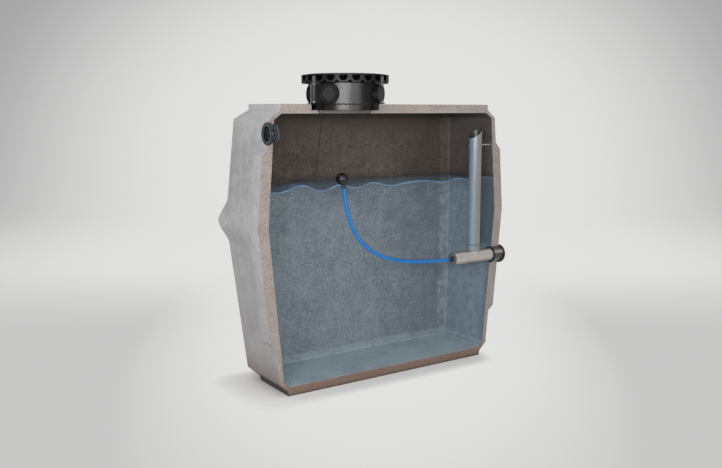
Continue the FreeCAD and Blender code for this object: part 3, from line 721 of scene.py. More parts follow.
# Colour, share of metal, stretch of the drawn lines and tint of each pipe finish; the tints paint reflections
# and shade, and the cap's end face and the bore are painted shade
pipe_finishes = {
    "riser_grey": ("pipe", 0.25, (1, 1, 0.03), painted_riser_reflections),
    "tee_grey": ("tee", 0.35, (0.03, 1, 1), shaded_run),
    "shaded_cap_face": ("cap_end_shade", 0.0, (1, 1, 1), None),
    "riser_bore": ("bore", 0.0, (1, 1, 0.03), None),
}
# Colour and tint of each steel finish; the rods' tint is painted shade
steel_finishes = {
    "clip_steel": ("steel", None),
    "rod_steel": ("rod", shaded_rod_side),
    "stay_steel": ("stay", None),
}
families = [(moulded, moulded_finishes), (satin_pipe, pipe_finishes), (galvanised, steel_finishes)]
singles = [cast_concrete, sawn_concrete, inner_concrete, worn_sleeve, hose_skin]
singles += [water_front, water_top, water_side, studio_paper]
single_finishes = {recipe.__name__: recipe for recipe in singles}


def finish(name):
    """The material of a finish, made once."""
    made = bpy.data.materials.get(name)
    if made:
        return made
    for family, table in families:
        if name in table:
            return family(name, *table[name])
    return single_finishes[name]()


def finishes(*names):
    return [finish(name) for name in names]


# Shaping

sideways = Matrix.Rotation(math.pi / 2, 4, "Y")     # turns +Z to +X
wide_steps = 128                                    # facets round the neck and the roof's opening
pipe_steps = 64                                     # facets round the pipes
small_steps = 48                                    # facets round the hose's fittings
rod_steps = 32                                      # facets round the stay, the washers and the notches
bar_steps = 24                                      # facets round the tie rods
ahead = -0.1                                        # how far tools stand out in front of the cut


def upright(x, z=0.0, turn=0.0):
    """Places a shape made about +Z on an upright axis in the cut plane."""
    return Matrix.Translation((x, cut_y, z)) @ Matrix.Rotation(turn, 4, "Z")


def lengthwise(z, x=0.0, y=cut_y):
    """Places a shape made about +Z on a level axis along the tank."""
    return Matrix.Translation((x, y, z)) @ sideways


def close_up(bm, reach=1e-5):
    """Merge doubled points and point every face outwards."""
    bmesh.ops.remove_doubles(bm, verts=bm.verts, dist=reach)
    bmesh.ops.recalc_face_normals(bm, faces=bm.faces)
    return bm


def turned(profile, place, steps=96):
    """Closed outline of (radius, height) points turned about +Z, then placed."""
    bm = bmesh.new()
    points = [bm.verts.new((radius, 0.0, height)) for radius, height in profile]
    for first, second in zip(points, points[1:] + points[:1]):
        bm.edges.new((first, second))
    bmesh.ops.spin(bm, geom=bm.verts[:] + bm.edges[:], cent=(0, 0, 0), axis=(0, 0, 1),
                   angle=2 * math.pi, steps=steps, use_merge=True)
    close_up(bm)
    bmesh.ops.transform(bm, matrix=place, verts=bm.verts)
    return bm


def round_bar(radius, length, place, steps=small_steps):
    """Solid bar that starts at the placed origin and runs along +Z."""
    bm = bmesh.new()
    bmesh.ops.create_cone(bm, cap_ends=True, segments=steps, radius1=radius, radius2=radius, depth=length,
                          matrix=place @ Matrix.Translation((0, 0, length / 2)))
    return bm


def block(lowest, highest, place=Matrix.Identity(4)):
    bm = bmesh.new()
    size = Vector(highest) - Vector(lowest)
    centre = (Vector(highest) + Vector(lowest)) / 2
    fit = Matrix.Translation(centre) @ Matrix.Diagonal((*size, 1))
    bmesh.ops.create_cube(bm, size=1.0, matrix=place @ fit)
    return bm


def stacked(rings, reach=1e-5):
    """Closed block through rings of points: the first ring is a face that is extruded from level to level."""
    bm = bmesh.new()
    column = bm.verts.layers.int.new("column")
    corners = [bm.verts.new(point) for point in rings[0]]
    for number, corner in enumerate(corners):
        corner[column] = number
    base = bm.faces.new(corners)
    top = base
    for ring in rings[1:]:
        made = bmesh.ops.extrude_face_region(bm, geom=[top])["geom"]
        if top is not base:
            bm.faces.remove(top)
        for item in made:
            if isinstance(item, bmesh.types.BMVert):
                item.co = ring[item[column]]
            elif isinstance(item, bmesh.types.BMFace):
                top = item
    return close_up(bm, reach)


def prism(outline, start, end):
    """Outline of (y, z) points extruded along +X."""
    return stacked([[(x, y, z) for y, z in outline] for x in (start, end)])


def joined(*shapes):
    """Separate shapes as one mesh."""
    together = shapes[0]
    for shape in shapes[1:]:
        mesh = bpy.data.meshes.new("joining")
        shape.to_mesh(mesh)
        shape.free()
        together.from_mesh(mesh)
        bpy.data.meshes.remove(mesh)
    return together


def shaped(operation, bm, tool):
    """The first shape with the tool cut away, joined on or kept in common."""
    holders = []
    for shape in (bm, tool):
        mesh = bpy.data.meshes.new("shaping")
        shape.to_mesh(mesh)
        shape.free()
        holder = bpy.data.objects.new("shaping", mesh)
        bpy.context.scene.collection.objects.link(holder)
        holders.append(holder)
    change = holders[0].modifiers.new("shaping", "BOOLEAN")
    change.operation = operation
    change.solver = "EXACT"
    change.object = holders[1]
    result = bmesh.new()
    result.from_object(holders[0], bpy.context.evaluated_depsgraph_get())
    for holder in holders:
        mesh = holder.data
        bpy.data.objects.remove(holder)
        bpy.data.meshes.remove(mesh)
    if not result.faces:
        raise RuntimeError("shaping left nothing")
    return result


def cut(bm, *tools):
    for tool in tools:
        bm = shaped("DIFFERENCE", bm, tool)
    return bm


def sharp_edges(bm, sharp):
    """Edges between two faces that turn by more than a given angle."""
    pairs = [edge for edge in bm.edges if len(edge.link_faces) == 2]
    return [edge for edge in pairs if edge.calc_face_angle() > math.radians(sharp)]


def rounded(bm, edges, width, segments):
    bmesh.ops.bevel(bm, geom=edges, offset=width, offset_type="OFFSET", segments=segments, profile=0.5,
                    affect="EDGES", material=-1, clamp_overlap=True)
    return bm


def softened(bm, width, segments=2, sharp=30):
    """Round every edge that turns by more than a given angle."""
    bmesh.ops.dissolve_degenerate(bm, dist=width * 0.05, edges=bm.edges)
    return rounded(bm, sharp_edges(bm, sharp), width, segments)


def paint(bm, number):
    """Give every face of a shape one finish."""
    for face in bm.faces:
        face.material_index = number
    return bm


def publish(name, bm, skins, nodes):
    """Make a finished piece of a shape, riding on the tank in place of its CAD nodes."""
    mesh = bpy.data.meshes.new(name)
    for material in skins:
        mesh.materials.append(material)
    bm.to_mesh(mesh)
    bm.free()
    mesh.shade_smooth()
    mesh.set_sharp_from_angle(angle=math.radians(40))
    piece = bpy.data.objects.new(name, mesh)
    bpy.context.scene.collection.objects.link(piece)
    evened = piece.modifiers.new("even shading", "WEIGHTED_NORMAL")
    evened.keep_sharp = True
    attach(piece, "root")
    if nodes:
        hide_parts(*nodes)
    return piece


# Concrete casting

def between(stations, z):
    """Value at height z on the straight lines through (height, value) stations."""
    if z <= stations[0][0]:
        return stations[0][1]
    for (z0, value0), (z1, value1) in zip(stations, stations[1:]):
        if z <= z1:
            return value0 + (value1 - value0) * (z - z0) / (z1 - z0)
    return stations[-1][1]


def outer_stations(s):
    heel = s.lower_draft + s.heel_chamfer
    roof = s.upper_draft + s.shoulder_chamfer
    return [
        (0.0, heel + s.plinth_draft),
        (s.plinth, heel),
        (s.heel, s.lower_draft),
        (s.waist, 0.0),
        (s.shoulder, s.upper_draft),
        (s.shoulder + s.shoulder_rise, roof),
        (s.height, roof),
    ]


def inner_stations(s):
    haunch_top = s.floor + s.floor_haunch_rise
    foot = between(outer_stations(s), haunch_top) + s.wall
    head = s.upper_draft + s.wall
    return [
        (s.floor, foot + s.floor_haunch),
        (haunch_top, foot),
        (s.waist, s.wall),
        (s.shoulder, head),
        (s.ceiling, head + s.ceiling_haunch),
    ]


def rib_stations(s):
    return [
        (s.rib_foot, 0.0),
        (s.rib_foot + s.rib_foot_slope, s.rib_proud),
        (s.rib_head - s.rib_head_slope, s.rib_proud),
        (s.rib_head, 0.0),
    ]


def soft_least(a, b, reach):
    """The lesser of two numbers, rounded where they cross."""
    share = max(reach - abs(a - b), 0.0) / reach
    return min(a, b) - share * share * reach / 4


def belt_bulge(s, z):
    """How far the waist belt stands in front of the wall."""
    slope = s.belt_proud / ((s.belt_root - s.belt_crest) / 2)
    flank = (s.belt_root / 2 - abs(z - s.waist)) * slope
    crest = soft_least(flank, s.belt_proud, s.belt_round)
    return -soft_least(-crest, 0.0, s.belt_fillet)


def casting_ring(s, z):
    """Outline of the half casting at one level, from the left of the cut to its right."""
    inset = between(outer_stations(s), z)
    rib = between(rib_stations(s), z)
    bulge = belt_bulge(s, z)
    x = s.half_length - inset
    y = s.half_width - inset + bulge
    leg = s.corner + (2 - math.sqrt(2)) * bulge
    half = [
        (x + rib, 0.0),
        (x + rib, s.rib_width),
        (x + min(rib, bulge), s.rib_width),
        (x + bulge, y - leg),
        (x + bulge - leg, y),
    ]
    ring = [(-along, across) for along, across in half] + half[::-1]
    return [(along, across + cut_y, z) for along, across in ring]


def cavity_ring(s, z, front, trim=0.0):
    """Outline of the space inside at one level, with its front pulled forward past the cut."""
    inset = between(inner_stations(s), z) + trim
    x = s.half_length - inset
    y = s.half_width - inset
    half = [(x, front), (x, y - s.corner), (x - s.corner, y)]
    ring = [(-along, across) for along, across in half] + half[::-1]
    return [(along, across + cut_y, z) for along, across in ring]


def casting_levels(s):
    rows = 12
    reach = s.belt_root / 2 + s.belt_fillet * (s.belt_root - s.belt_crest) / 2 / s.belt_proud
    belt = [s.waist + reach * row / rows for row in range(-rows, rows + 1)]
    stations = outer_stations(s) + rib_stations(s)
    return sorted(set(belt + [z for z, value in stations]))


def in_cavity(s, point):
    """Whether a point lies on or in the space inside the tank."""
    slack = 2 * mm
    inset = between(inner_stations(s), point.z) - slack
    tall = s.floor - slack < point.z < s.ceiling + slack
    return tall and abs(point.x) < s.half_length - inset and point.y - cut_y < s.half_width - inset


def tank_casting(s, f):
    """Walls, floor, roof, ribs and belt in one pour, with its cavity and openings cut out."""
    bm = stacked([casting_ring(s, z) for z in casting_levels(s)], 2 * mm)
    cavity = stacked([cavity_ring(s, z, ahead) for z, inset in inner_stations(s)])
    inlet = lengthwise(middle("inlet_seal").z, -1.5 * s.half_length)
    outlet = lengthwise(middle("outlet_seal").z, 0.5)
    bm = cut(
        bm,
        cavity,
        round_bar(s.manhole, s.height, upright(neck_x, s.waist), wide_steps),
        round_bar(s.rebate, s.height, upright(neck_x, s.height - s.rebate_depth), wide_steps),
        round_bar(f.inlet_sleeve + f.fit, s.half_length, inlet, pipe_steps),
        round_bar(f.outlet_sleeve + f.fit, s.half_length, outlet, pipe_steps),
    )
    outside, sawn, inside = range(3)
    for face in bm.faces:
        centre = face.calc_center_median()
        round_neck = math.hypot(centre.x - neck_x, centre.y - cut_y) < s.rebate
        in_manhole = round_neck and s.ceiling + mm < centre.z < s.height - mm
        if abs(centre.y - cut_y) < 0.1 * mm or in_manhole:
            face.material_index = sawn
        elif in_cavity(s, centre):
            face.material_index = inside
        else:
            face.material_index = outside
    return softened(bm, s.arris, sharp=18)


casting_nodes = ["base_plinth", "floor_slab", "roof_left", "roof_manhole", "roof_right"]
casting_nodes += ["left_end_rib", "right_end_rib"]
for side in ("left_end", "left_corner", "back", "right_corner", "right_end"):
    casting_nodes += [side + "_wall_lower", side + "_wall_upper", side + "_belt"]


class RAINTANK_OT_casting(bpy.types.Operator):
    """Pour the concrete casting of the tank"""
    bl_idname = "raintank.casting"
    bl_label = "Concrete Casting"

    def execute(self, context):
        s = settings()
        bm = tank_casting(s.casting, s.fittings)
        skins = finishes("cast_concrete", "sawn_concrete", "inner_concrete")
        publish("tank_casting", bm, skins, casting_nodes)
        return {"FINISHED"}


# Pipe seals

def wall_wedge(s, end, lowest, highest, proud):
    """Space inside an end wall's outer face, wider than the tank."""
    half = 1.0
    rings = []
    for z in (lowest, highest):
        x = end * (s.half_length - between(outer_stations(s), z) + proud)
        rings.append([(0.0, -half, z), (x, -half, z), (x, half, z), (0.0, half, z)])
    return stacked(rings)


def seal_flange(radius, hole, face, depth, lip):
    """Outline of a seal's flange, round outside and dished in front."""
    outward = 1 if depth < 0 else -1
    outline = [(hole, face - outward * lip * 0.6)]
    for step in range(7):
        turn = math.pi / 2 * step / 6
        outline.append((radius - lip + lip * math.sin(turn), face - outward * lip * (1 - math.cos(turn))))
    return outline + [(radius, face + depth), (hole, face + depth)]


def seal_sleeve(radius, bore, face, end, lip, groove, count, bead):
    """Outline of a seal's sleeve: a round mouth, grooves, and a bead round its inner end."""
    along = 1 if end > face else -1
    outline = [
        (bore, face + along * lip),
        (bore + lip * 0.35, face + along * lip * 0.2),
        (bore + lip * 0.75, face),
        (radius, face + along * lip * 0.4),
    ]
    pitch = 2.2 * groove
    first = end - along * pitch * (count + 0.6)
    for number in range(count):
        x = first + along * pitch * number
        outline += [(radius, x), (radius - groove, x + along * groove * 0.5),
                    (radius - groove, x + along * groove), (radius, x + along * groove * 1.5)]
    if bead:
        outline += [(radius, end - along * 1.5 * bead), (radius + bead, end - along * 1.1 * bead)]
    return outline + [(radius + bead, end - along * groove / 2), (radius + bead - groove, end), (bore, end)]


class RAINTANK_OT_seals(bpy.types.Operator):
    """Fit the rubber seals of the inlet and the outlet"""
    bl_idname = "raintank.seals"
    bl_label = "Pipe Seals"

    def execute(self, context):
        s = settings().casting
        f = settings().fittings
        bore = f.pipe + f.fit
        ends = [("inlet_seal", -1, s.waist, s.shoulder, 0.0, f.inlet_sleeve, 3, 0.0, "ribbed_sheen_rubber"),
                ("outlet_seal", 1, s.heel, s.waist, s.rib_proud, f.outlet_sleeve, 0, 7 * mm, "worn_sleeve")]
        for node, end, lowest, highest, proud, sleeve, grooves, bead, outside in ends:
            axis_z = middle(node).z
            place = lengthwise(axis_z)
            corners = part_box(node)
            face, inner = (corners[0].x, corners[1].x) if end < 0 else (corners[1].x, corners[0].x)
            radius = (corners[1].z - corners[0].z) / 2
            flange = turned(seal_flange(radius, sleeve - 3 * mm, face, -end * 40 * mm, f.seal_lip), place)
            flange = cut(flange, wall_wedge(s, end, lowest, highest, proud))
            outline = seal_sleeve(sleeve, bore, face, inner, f.seal_lip, f.seal_groove, grooves, bead)
            bm = shaped("UNION", flange, turned(outline, place))
            for piece in bm.faces:
                centre = piece.calc_center_median()
                away = math.hypot(centre.y - cut_y, centre.z - axis_z)
                mouth = bore + 2 * mm < away < sleeve and abs(centre.x - face) < f.seal_lip / 2
                land = abs(away - sleeve) < 1.5 * mm and abs(centre.x - inner) > 3 * bead
                # The mouth's lip and the sleeve take the second finish, which on the inlet is a paler rubber
                # that paints their sheen.
                piece.material_index = int(mouth or land)
            skins = finishes("seal_rubber", outside)
            publish(node + "_ring", softened(bm, 0.8 * mm, sharp=35), skins, [node])
        return {"FINISHED"}


# Tee, riser and stay

def tee_moulding(f):
    """Run and socketed branch, bored through, with a soft corner where they meet."""
    start, end = low("drain_tee").x, high("drain_tee").x
    axis_z = middle("tee_end_cap").z
    riser = middle("riser_pipe").x
    top = high("drain_tee").z
    foot = low("riser_pipe").z
    socket = f.pipe + f.fit + f.socket_wall
    bore = f.pipe - f.pipe_wall
    bead = f.socket_lip
    past = 10 * mm
    run = turned([(0, start), (f.pipe, start), (f.pipe, end), (0, end)], lengthwise(axis_z), pipe_steps)
    neck = foot - 4 * bead
    branch = turned([
        (0, axis_z), (f.pipe * 0.98, axis_z), (f.pipe * 0.98, neck), (socket, neck + 4 * bead),
        (socket, top - 5 * bead), (socket + bead, top - 4 * bead), (socket + bead, top - bead),
        (socket, top), (0, top),
    ], upright(riser), pipe_steps)
    bm = shaped("UNION", run, branch)
    corner = [edge for edge in sharp_edges(bm, 25) if not edge.is_convex]
    rounded(bm, corner, 7 * mm, 3)
    bm = cut(
        bm,
        round_bar(bore, end - start + 2 * past, lengthwise(axis_z, start - past), pipe_steps),
        round_bar(bore, top - axis_z + past, upright(riser, axis_z), pipe_steps),
        round_bar(f.pipe + f.fit, top - foot + past, upright(riser, foot), pipe_steps),
    )
    for face in bm.faces:
        face.material_index = int(face.calc_center_median().z > axis_z + f.pipe + 2 * mm)
    return bm


def end_cap(f):
    """Socket cap with a rounded closed end and a bead at its mouth, its end face in a finish of painted
    shade.
    """
    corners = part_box("tee_end_cap")
    start, end = corners[0].x, corners[1].x
    socket = f.pipe + f.fit + f.socket_wall
    seat = f.pipe + f.fit
    bead = f.socket_lip
    closed = start + 8 * mm
    bm = turned([
        (f.hose, start), (socket - 4 * mm, start), (socket - 1.2 * mm, start + 1.2 * mm),
        (socket, start + 4 * mm), (socket, end - 6 * bead), (socket + bead, end - 5 * bead),
        (socket + bead, end - bead), (socket, end), (seat, end), (seat, closed), (f.hose, closed),
    ], lengthwise(middle("tee_end_cap").z), pipe_steps)
    # The end face takes a darker finish: painted shade.
    for face in bm.faces:
        face.material_index = int(face.calc_center_median().x < start + mm)
    return bm


def riser_tube(f):
    """Upright tube with its top cut at a slant."""
    foot = low("riser_pipe").z
    top = high("riser_pipe").z
    x = middle("riser_pipe").x
    bore = f.pipe - f.pipe_wall
    tube = turned([(bore, foot), (f.pipe, foot), (f.pipe, top), (bore, top)], upright(x), pipe_steps)
    reach = 0.3
    level = top - f.pipe * math.tan(f.bevel)
    slant = upright(x, level) @ Matrix.Rotation(-f.bevel, 4, "Y")
    tube = cut(tube, block((-reach, -reach, 0), (reach, reach, reach), slant))
    # The bore takes a darker finish: painted shade inside the tube.
    for face in tube.faces:
        centre = face.calc_center_median()
        face.material_index = int(math.hypot(centre.x - x, centre.y - cut_y) < bore + 0.5 * mm)
    return tube


def hex_bolt(radius, thickness, place):
    """Six-sided nut or bolt head with its corners turned off."""
    bm = round_bar(radius, thickness, place, 6)
    return softened(bm, radius * 0.12, sharp=50)


def clamp_ring(f):
    """Band round the riser with a lug and its bolt."""
    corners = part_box("riser_clamp")
    x = middle("riser_pipe").x
    stay = middle("stay_rod")
    foot, top = corners[0].z, corners[1].z
    radius = x - corners[0].x
    inside = f.pipe + f.fit
    outline = [(inside, foot), (radius, foot), (radius, top), (inside, top)]
    ring = turned(outline, upright(x), pipe_steps)
    half = (top - foot) / 2
    lug = block((x + radius - 3 * mm, stay.y - half, foot), (corners[1].x, stay.y + half, top))
    bm = softened(shaped("UNION", ring, lug), 1.2 * mm)
    side = Matrix.Translation((corners[1].x - half, stay.y - half, stay.z))
    across = side @ Matrix.Rotation(math.pi / 2, 4, "X")
    return joined(bm, hex_bolt(7 * mm, 5 * mm, across))


def stay_bar():
    """Rod with a locking nut at each end."""
    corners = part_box("stay_rod")
    centre = middle("stay_rod")
    radius = (corners[1].z - corners[0].z) / 2
    start, end = corners[0].x, corners[1].x
    bar = turned([
        (0, start), (radius - mm, start), (radius, start + mm),
        (radius, end - mm), (radius - mm, end), (0, end),
    ], lengthwise(centre.z, 0.0, centre.y), rod_steps)
    seats = [lengthwise(centre.z, x, centre.y) for x in (start, end - radius)]
    nuts = [hex_bolt(1.8 * radius, radius, seat) for seat in seats]
    return joined(bar, *[paint(nut, 1) for nut in nuts])


def stay_foot(s):
    """Tapered pad flat on the leaning wall, with two screws."""
    lowest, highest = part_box("stay_plate")
    rings = []
    for z in (lowest.z, highest.z):
        x = s.half_length - between(inner_stations(s), z)
        rings.append([(lowest.x, lowest.y, z), (x, lowest.y, z), (x, highest.y, z), (lowest.x, highest.y, z)])
    bm = softened(stacked(rings), 1.5 * mm)
    screws = []
    for z in (lowest.z + 6 * mm, highest.z - 6 * mm):
        screws.append(hex_bolt(4 * mm, 3 * mm, lengthwise(z, lowest.x - 2.5 * mm, middle("stay_plate").y)))
    return joined(bm, *screws)


class RAINTANK_OT_pipes(bpy.types.Operator):
    """Fit the overflow tee with its end cap, riser and stay"""
    bl_idname = "raintank.pipes"
    bl_label = "Tee and Riser"

    def execute(self, context):
        s = settings().casting
        f = settings().fittings
        tee = finishes("tee_grey", "riser_grey")
        cap = finishes("tee_grey", "shaded_cap_face")
        riser = finishes("riser_grey", "riser_bore")
        steel = finishes("stay_steel", "clip_steel")
        body = softened(tee_moulding(f), 0.8 * mm, sharp=50)
        publish("tee_moulding", body, tee, ["drain_tee"])
        publish("tee_stop_cap", softened(end_cap(f), 0.6 * mm, sharp=50), cap, ["tee_end_cap"])
        publish("riser_tube", softened(riser_tube(f), 0.8 * mm, sharp=40), riser, ["riser_pipe"])
        publish("clamp_ring", clamp_ring(f), riser[:1], ["riser_clamp"])
        publish("stay_bar", stay_bar(), steel, ["stay_rod"])
        publish("stay_foot", stay_foot(s), steel[1:], ["stay_plate"])
        return {"FINISHED"}


# Draw-off hose and float

# Route of the hose in the cut plane as (X, Z) from the tail's end to the float's spigot
hose_route = [
    (0.606, 0.920),
    (0.482, 0.922),
    (0.332, 0.930),
    (0.182, 0.944),
    (0.035, 0.973),
    (-0.110, 1.021),
    (-0.242, 1.094),
    (-0.343, 1.196),
    (-0.412, 1.322),
    (-0.453, 1.459),
    (-0.471, 1.596),
]


def hose_line(f):
    """The hose as one smooth curve along its route."""
    curve = bpy.data.curves.new("draw_off_hose", "CURVE")
    curve.dimensions = "3D"
    curve.resolution_u = 16
    curve.bevel_depth = f.hose
    curve.bevel_resolution = 8
    curve.use_fill_caps = True
    line = curve.splines.new("NURBS")
    line.points.add(len(hose_route) - 1)
    for point, (x, z) in zip(line.points, hose_route):
        point.co = (x, cut_y, z, 1.0)
    line.order_u = 3
    line.use_endpoint_u = True
    line.use_smooth = True
    curve.materials.append(finish("hose_skin"))
    hose = bpy.data.objects.new("draw_off_hose", curve)
    bpy.context.scene.collection.objects.link(hose)
    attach(hose, "root")
    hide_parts("suction_hose")
    return hose


def tail_spigot(f):
    """Collar against the cap and a ridged tail for the hose."""
    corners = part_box("hose_tail")
    start, end = corners[0].x, corners[1].x
    collar = (corners[1].z - corners[0].z) / 2
    body = f.hose + 3 * mm
    ridges = []
    for number in range(4):
        x = start + 6 * mm * number
        ridges += [(body - mm, x), (body, x + 1.5 * mm), (body, x + 4 * mm), (body - mm, x + 5 * mm)]
    outline = [(f.hose * 0.5, start)] + ridges
    face = end - 12 * mm
    outline += [(body - mm, face), (collar - mm, face), (collar, face + mm), (collar, end)]
    outline += [(f.hose * 0.5, end)]
    return turned(outline, lengthwise(middle("hose_tail").z), small_steps)


def float_buoy(f):
    """Ball with a moulded boss at its side and a filler plug at the strap's axis."""
    centre = middle("float_ball")
    bm = bmesh.new()
    bmesh.ops.create_icosphere(bm, subdivisions=4, radius=f.ball, matrix=Matrix.Translation(centre))
    bosses = [((0.45, -0.86, -0.22), 0.42, 5 * mm), ((0.57, 0.0, 0.82), 0.3, 3 * mm)]
    for heading, radius, rise in bosses:
        turn = Vector(heading).to_track_quat("Z", "Y").to_matrix().to_4x4()
        place = Matrix.Translation(centre) @ turn
        wide = f.ball * radius
        foot = f.ball * 0.8
        top = f.ball + rise - wide * radius / 2
        boss = turned([(0, foot), (wide, foot), (wide, top - mm), (wide - 2 * mm, top), (wide * 0.62, top),
                       (wide * 0.5, top - 4 * mm), (0, top - 4 * mm)], place, small_steps)
        bm = shaped("UNION", bm, boss)
    return bm


def float_band(f):
    """Flat band round the ball with a buckle lug."""
    centre = middle("float_ball")
    inside = f.ball + f.fit
    half = 8 * mm
    outside = inside + 4 * mm
    place = Matrix.Translation(centre) @ Matrix.Rotation(f.strap_tilt, 4, "Y")
    band = turned([(inside, -half), (outside - mm, -half), (outside, -half + mm), (outside, half - mm),
                   (outside - mm, half), (inside, half)], place, pipe_steps)
    wide, tall = 7 * mm, half * 0.8
    lug = block((outside - 1.5 * mm, -wide, -tall), (outside + 5 * mm, wide, tall), place)
    return joined(band, softened(lug, mm))


def float_spigot(f):
    """Ridged spigot under the ball."""
    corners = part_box("float_socket")
    centre = middle("float_socket")
    foot = corners[0].z
    ball = middle("float_ball")
    radius = (corners[1].y - corners[0].y) / 2
    top = ball.z
    outline = [(0, foot)]
    for number in range(4):
        z = foot + 5 * mm * number
        outline += [(radius - mm, z), (radius, z + mm), (radius, z + 3 * mm), (radius - mm, z + 4 * mm)]
    outline += [(radius - mm, top), (0, top)]
    spigot = turned(outline, upright(centre.x), small_steps)
    hollow = bmesh.new()
    bmesh.ops.create_icosphere(hollow, subdivisions=4, radius=f.ball + f.fit, matrix=Matrix.Translation(ball))
    band_place = Matrix.Translation(ball) @ Matrix.Rotation(f.strap_tilt, 4, "Y")
    tall = 17 * mm
    room = round_bar(f.ball + 5 * mm, tall, band_place @ Matrix.Translation((0, 0, -tall / 2)), pipe_steps)
    return cut(spigot, hollow, room)


class RAINTANK_OT_hose(bpy.types.Operator):
    """Hang the draw-off hose between its tail and its float"""
    bl_idname = "raintank.hose"
    bl_label = "Hose and Float"

    def execute(self, context):
        f = settings().fittings
        dark = finishes("satin_fitting")
        publish("hose_tail_spigot", tail_spigot(f), dark, ["hose_tail"])
        ball = softened(float_buoy(f), 1.2 * mm, sharp=50)
        buoy = publish("float_buoy", ball, finishes("float_gloss"), ["float_ball"])
        band = publish("float_band", float_band(f), dark, ["float_strap"])
        spigot = publish("float_spigot", float_spigot(f), dark, ["float_socket"])
        hose = hose_line(f)
        x, z = hose_route[0]
        return {"FINISHED"}


# Manhole neck and cover

def direction(node):
    """Heading of a piece beside the neck, seen from the neck's axis."""
    centre = middle(node)
    return math.atan2(centre.y - cut_y, centre.x - neck_x)


port_nodes = ["port_cap_1", "port_cap_2", "port_cap_3"]


def port_headings():
    """Headings of the ports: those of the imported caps, and one more a quarter turn past the first."""
    packed = [direction(node) for node in port_nodes]
    return packed + [packed[0] + math.pi / 2]


def port_place(heading):
    """Places a shape made about +Z on a port's axis, with its origin on the neck's axis."""
    return upright(neck_x, middle(port_nodes[0]).z, heading) @ sideways


def neck_tube(m):
    """Neck with its foot band and the stubs of its ports."""
    foot, top = low("manhole_neck").z, high("manhole_neck").z
    band = m.neck - m.band_inset
    band_top = foot + m.band_height
    step = band_top + m.band_inset
    bm = turned([
        (band - m.neck_wall, foot), (band, foot), (band, band_top), (m.neck, step), (m.neck, top),
        (m.neck - m.neck_wall, top), (m.neck - m.neck_wall, step), (band - m.neck_wall, band_top),
    ], upright(neck_x), wide_steps)
    start = m.neck - m.neck_wall / 2 - 5 * mm
    end = cap_start(port_nodes[0])
    bore = m.port - m.port_wall
    for heading in port_headings():
        outline = [(bore, start), (m.port, start), (m.port, end), (bore, end)]
        bm = shaped("UNION", bm, turned(outline, port_place(heading), pipe_steps))
    return bm


def cap_start(node):
    """Distance of a port cap's inner face from the neck's axis."""
    reach = (high(node) - low(node)) / 2
    radius = (high(node).z - low(node).z) / 2
    turn = direction(node)
    thickness = 2 * (reach.x - radius * abs(math.sin(turn))) / max(abs(math.cos(turn)), 0.05)
    centre = middle(node)
    away = math.hypot(centre.x - neck_x, centre.y - cut_y)
    return away - thickness / 2


def port_blank(m, heading):
    """Round cap with a sunk face in a paler finish of painted light."""
    start = cap_start(port_nodes[0])
    radius = (high(port_nodes[0]).z - low(port_nodes[0]).z) / 2
    end = start + m.port_cap
    floor = end - m.port_sunk
    recess = m.port_recess
    place = port_place(heading)
    bm = turned([
        (0, start), (radius, start), (radius, end - 2 * mm), (radius - 2 * mm, end), (recess + 2 * mm, end),
        (recess, floor + mm), (recess - 2 * mm, floor), (recess * 0.4, floor + 0.6 * mm), (0, floor + mm),
    ], place, pipe_steps)
    # The sunk face takes the paler second finish: painted light.
    to_port = place.inverted()
    for face in bm.faces:
        centre = to_port @ face.calc_center_median()
        face.material_index = int(math.hypot(centre.x, centre.y) < recess - mm and centre.z > floor - mm)
    return bm


def rim_ring(m, tool, share):
    """A tool made on +X, repeated round the cover a share of the pitch past each pocket."""
    start = m.pocket_angle + 2 * math.pi * share / m.pockets
    bmesh.ops.rotate(tool, verts=tool.verts, cent=(0, 0, 0), matrix=Matrix.Rotation(start, 3, "Z"))
    whole = tool.verts[:] + tool.edges[:] + tool.faces[:]
    copies = m.pockets - 1
    bmesh.ops.spin(tool, geom=whole, cent=(0, 0, 0), axis=(0, 0, 1),
                   angle=2 * math.pi * copies / m.pockets, steps=copies, use_duplicate=True)
    bmesh.ops.transform(tool, matrix=upright(neck_x), verts=tool.verts)
    bmesh.ops.recalc_face_normals(tool, faces=tool.faces)
    return tool


def pocket_tool(m, radius, top):
    """Round-bottomed pocket, open outwards."""
    half = m.pocket_width / 2
    middle_z = top - m.pocket_height + half
    outline = [(half, top), (-half, top)]
    for step in range(13):
        turn = math.pi + math.pi * step / 12
        outline.append((half * math.cos(turn), middle_z + half * math.sin(turn)))
    return rim_ring(m, prism(outline, radius - m.pocket_depth, radius + half), 0.0)


def notch_tool(m, radius, foot):
    """Round gap in the rim's foot below a web."""
    place = Matrix.Translation((radius - m.pocket_depth, 0, foot)) @ sideways
    return rim_ring(m, round_bar(m.notch, 2 * m.pocket_depth, place, rod_steps), 0.5)


